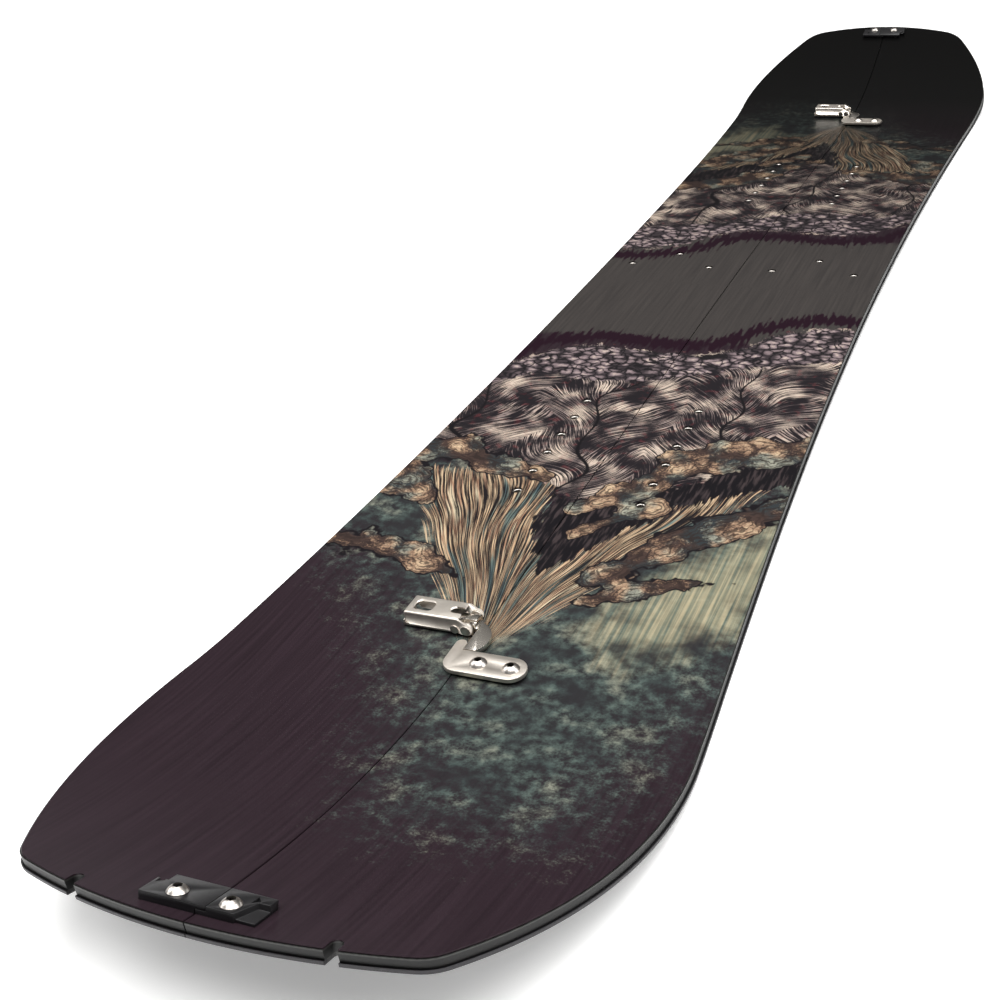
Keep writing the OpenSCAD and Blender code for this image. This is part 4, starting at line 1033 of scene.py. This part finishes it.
def worked(node_name, finish, ease, bends=None, bend_size=0.0):
    """Copy of a CAD part with its bends rounded and every other edge eased."""
    data = nodes[node_name].data.copy()
    if "sharp_edge" in data.attributes:
        data.attributes.remove(data.attributes["sharp_edge"])
    mesh = bmesh.new()
    mesh.from_mesh(data)
    bmesh.ops.remove_doubles(mesh, verts=mesh.verts, dist=2e-6)
    bmesh.ops.dissolve_limit(mesh, angle_limit=math.radians(1), verts=mesh.verts, edges=mesh.edges)
    if bends:
        bmesh.ops.bevel(
            mesh,
            geom=[e for e in mesh.edges if bends(e)],
            offset=bend_size * MM,
            segments=6,
            profile=0.5,
            affect="EDGES",
            clamp_overlap=True,
        )
    mesh.to_mesh(data)
    mesh.free()
    made = bpy.data.objects.new(f"{node_name}_worked", data)
    bpy.context.scene.collection.objects.link(made)
    change = made.modifiers.new("ease", "BEVEL")
    change.width = ease * MM
    change.segments = 2
    change.limit_method = "ANGLE"
    change.angle_limit = math.radians(38)
    change.use_clamp_overlap = True
    evaluated = made.evaluated_get(bpy.context.evaluated_depsgraph_get())
    result = bpy.data.meshes.new_from_object(evaluated)
    made.modifiers.clear()
    made.data = result
    made.data.materials.clear()
    made.data.materials.append(finish)
    return smooth(made, 32)


# Moulded nylon from a spark-eroded mould: dull black with a fine grain
nylon, tree, shader = material("moulded_nylon", Base_Color=linear("#171618"), Roughness=0.5)
place = node(tree, "ShaderNodeTexCoord", out="Object")
# Grain a third of a millimetre across
grain = node(tree, "ShaderNodeTexNoise", {"Vector": place, "Scale": 3000.0, "Detail": 2.0})
grained = node(tree, "ShaderNodeBump", {"Height": grain, "Strength": 0.2, "Distance": 0.00005})
tree.links.new(grained, shader.inputs["Normal"])

pad_ease = 0.25
for end in ENDS:
    stand(worked(f"{end}_clip_pad", nylon, pad_ease), f"{end}_clip_pad", "left_half")
    stand(worked(f"{end}_catch_spacer", nylon, pad_ease), f"{end}_catch_spacer", "right_half")

# --- Clip bases, levers and catch plates ---
# Stainless sheet and plate, blanked and bent. The base is screwed to the left half and its ears
# carry the axle, the lever is a folded channel, and the catch plate is screwed to the right half.

base_ease, catch_ease, lever_ease = 0.15, 0.3, 0.12
# The lever's free end, half width and top in the clip's frame, and the radius of its bends
lever_free_end, lever_half, lever_top, lever_bend = -42.7, 8.3, 11.0, 1.7
near = 0.02


def lever_bends(end):
    """Picks the outer bend lines of a lever: both sides and the end of its top, and the corners."""
    into = clip_frame(end).inverted()
    middle = clip_row / 2

    def chosen(edge):
        a, b = (into @ (v.co / MM) for v in edge.verts)
        out_a, out_b = a.y - middle, b.y - middle
        side = all(abs(abs(out) - lever_half) < near for out in (out_a, out_b)) and out_a * out_b > 0
        top = all(abs(p.z - lever_top) < near for p in (a, b))
        far = all(abs(p.x - lever_free_end) < near for p in (a, b))
        return (side and top) or (top and far) or (side and far)

    return chosen


# Brushed stainless sheet: pale and warm, with a broad satin shine
brushed, tree, shader = material("brushed_stainless", Metallic=1.0, Roughness=0.42)
place = node(tree, "ShaderNodeTexCoord", out="Object")
# Brushing across the board, a sixth of a millimetre apart
brush_run = node(tree, "ShaderNodeMapping", {"Vector": place, "Scale": (60, 6000, 6000)})
brush = node(tree, "ShaderNodeTexNoise", {"Vector": brush_run, "Scale": 1.0, "Detail": 3.0})
spread = node(tree, "ShaderNodeMapRange", {"Value": brush, "To Min": 0.34, "To Max": 0.56})
tree.links.new(spread, shader.inputs["Roughness"])
brushed_over = node(tree, "ShaderNodeBump", {"Height": brush, "Strength": 0.08, "Distance": 0.00003})
tree.links.new(brushed_over, shader.inputs["Normal"])
# Handling marks: faint dull patches 5 mm across
dull = node(tree, "ShaderNodeTexNoise", {"Vector": place, "Scale": 200.0, "Detail": 3.0})
dull = node(tree, "ShaderNodeMix", {0: dull, 6: linear("#dcd3c8"), 7: linear("#f2ebe1")}, **COLOURS)
tree.links.new(dull, shader.inputs["Base Color"])

for end in ENDS:
    stand(worked(f"{end}_clip_base", brushed, base_ease), f"{end}_clip_base", "left_half")
    plate = worked(f"{end}_catch_plate", brushed, catch_ease)
    stand(plate, f"{end}_catch_plate", "right_half")
    lever = worked(f"{end}_lever", brushed, lever_ease, lever_bends(end), lever_bend)
    stand(lever, f"{end}_lever", f"{end}_lever")

# --- Hooks ---
# Polished stainless castings. The arm is pinned in the lever, passes over the axle and comes
# down to a blade whose round nose pulls on the finger of the catch plate.

# Cast and tumbled stainless: brighter and smoother than the sheet
polished, tree, shader = material(
    "polished_stainless", Base_Color=linear("#dcd6cd"), Metallic=1.0, Roughness=0.2
)
place = node(tree, "ShaderNodeTexCoord", out="Object")
# Uneven polish, 3 mm across
polish = node(tree, "ShaderNodeTexNoise", {"Vector": place, "Scale": 330.0, "Detail": 3.0})
spread = node(tree, "ShaderNodeMapRange", {"Value": polish, "To Min": 0.14, "To Max": 0.3})
tree.links.new(spread, shader.inputs["Roughness"])

hook_ease = 0.35
for end in ENDS:
    stand(worked(f"{end}_hook", polished, hook_ease), f"{end}_hook", f"{end}_hook")

# --- Pins and screws ---
# The lever turns on a riveted axle and the hook on a riveted pin. Button-head screws with
# hexagonal sockets hold the clips and connectors, each turned as it came to a stop.

pin_ease = 0.15
for end in ENDS:
    stand(worked(f"{end}_lever_axle", turned_steel, pin_ease), f"{end}_lever_axle", "left_half")
    stand(worked(f"{end}_hook_pin", turned_steel, pin_ease), f"{end}_hook_pin", f"{end}_lever")

# Heights over the deck at which the heads seat: on the base plate, the catch plate and the
# connector. Then the heads' diameters, and what all the screws share.
plate_seat, catch_seat, tip_seat = 2.2, 4.5, 4.0
clip_head, tip_head = 9.6, 8.8
head_height, socket_across, socket_floor, screw_width, screw_ease = 2.8, 3.6, 0.6, 4.8, 0.3
dome_steps = 10


def screw_part(seat, head):
    """One button-head screw whose head seats at a height over the deck."""
    ball = (head * head / 4 + head_height**2) / (2 * head_height)
    limit, flat = math.asin(head / 2 / ball), math.acos((ball - 0.2) / ball)
    dome = [limit + (flat - limit) * i / dome_steps for i in range(1, dome_steps + 1)]
    shank_foot, radius = insert_foot + flange_height, screw_width / 2
    profile = [(0, shank_foot), (radius - screw_ease, shank_foot), (radius, shank_foot + screw_ease)]
    profile += [(radius, seat), (head / 2 - 0.15, seat), (head / 2, seat + 0.12)]
    profile += [(ball * math.sin(a), seat + head_height - ball + ball * math.cos(a)) for a in dome]
    profile.append((0, seat + head_height - 0.2))
    corner = socket_across / 2 / math.cos(math.pi / 6)
    depth = 5.0

    def socket(mesh):
        middle = Matrix.Translation((0, 0, seat + socket_floor + depth / 2))
        bmesh.ops.create_cone(
            mesh, cap_ends=True, segments=6, radius1=corner, radius2=corner, depth=depth, matrix=middle
        )

    screw = carved(solid("screw", lambda mesh: lathe(mesh, profile)), solid("socket", socket))
    screw = smooth(screw, 28)
    # Only the six corners of the socket's floor are marked, so the painted shade on its walls grows towards
    # it
    in_socket = [
        float(seat < v.co.z / MM < seat + socket_floor + 0.05 and 1.2 < v.co.xy.length / MM < corner * 1.04)
        for v in screw.data.vertices
    ]
    screw.data.attributes.new("recess", "FLOAT", "POINT").data.foreach_set("value", in_socket)
    return screw


for side in SIDES:
    for end in ENDS:
        clip_places, tip_places = screw_frames(side, end)
        of_lever = side == LEVER_SIDE
        clip_node = f"{end}_clip_base_screws" if of_lever else f"{end}_catch_screws"
        part = screw_part(plate_seat if of_lever else catch_seat, clip_head)
        made = repeated(f"{end}_{side}_clip_buttons", part, clip_places, turned_steel)
        stand(made, clip_node, f"{side}_half")
        made = repeated(f"{end}_{side}_tip_button", screw_part(tip_seat, tip_head), tip_places, turned_steel)
        stand(made, f"{end}_screw_{side}", f"{side}_half")

# --- Tip connectors ---
# Two black glass-filled nylon blocks at each tip, moulded and screwed on. The lip of one lies over
# the shelf of the other, so that neither half can lift or drop when the board is closed.

# Moulded glass-filled nylon: black, a little shiny, with flow marks
filled_nylon, tree, shader = material("glass_filled_nylon", Base_Color=linear("#151416"), Roughness=0.36)
place = node(tree, "ShaderNodeTexCoord", out="Object")
# Swirls of glass fibre near the surface, 2 mm across
swirl = {"Vector": place, "Scale": 500.0, "Detail": 4.0, "Distortion": 1.0}
swirl = node(tree, "ShaderNodeTexNoise", swirl)
spread = node(tree, "ShaderNodeMapRange", {"Value": swirl, "To Min": 0.3, "To Max": 0.46})
tree.links.new(spread, shader.inputs["Roughness"])

block_ease = 0.3
for end in ENDS:
    for side in SIDES:
        name = f"{end}_connector_{side}"
        stand(worked(name, filled_nylon, block_ease), name, f"{side}_half")
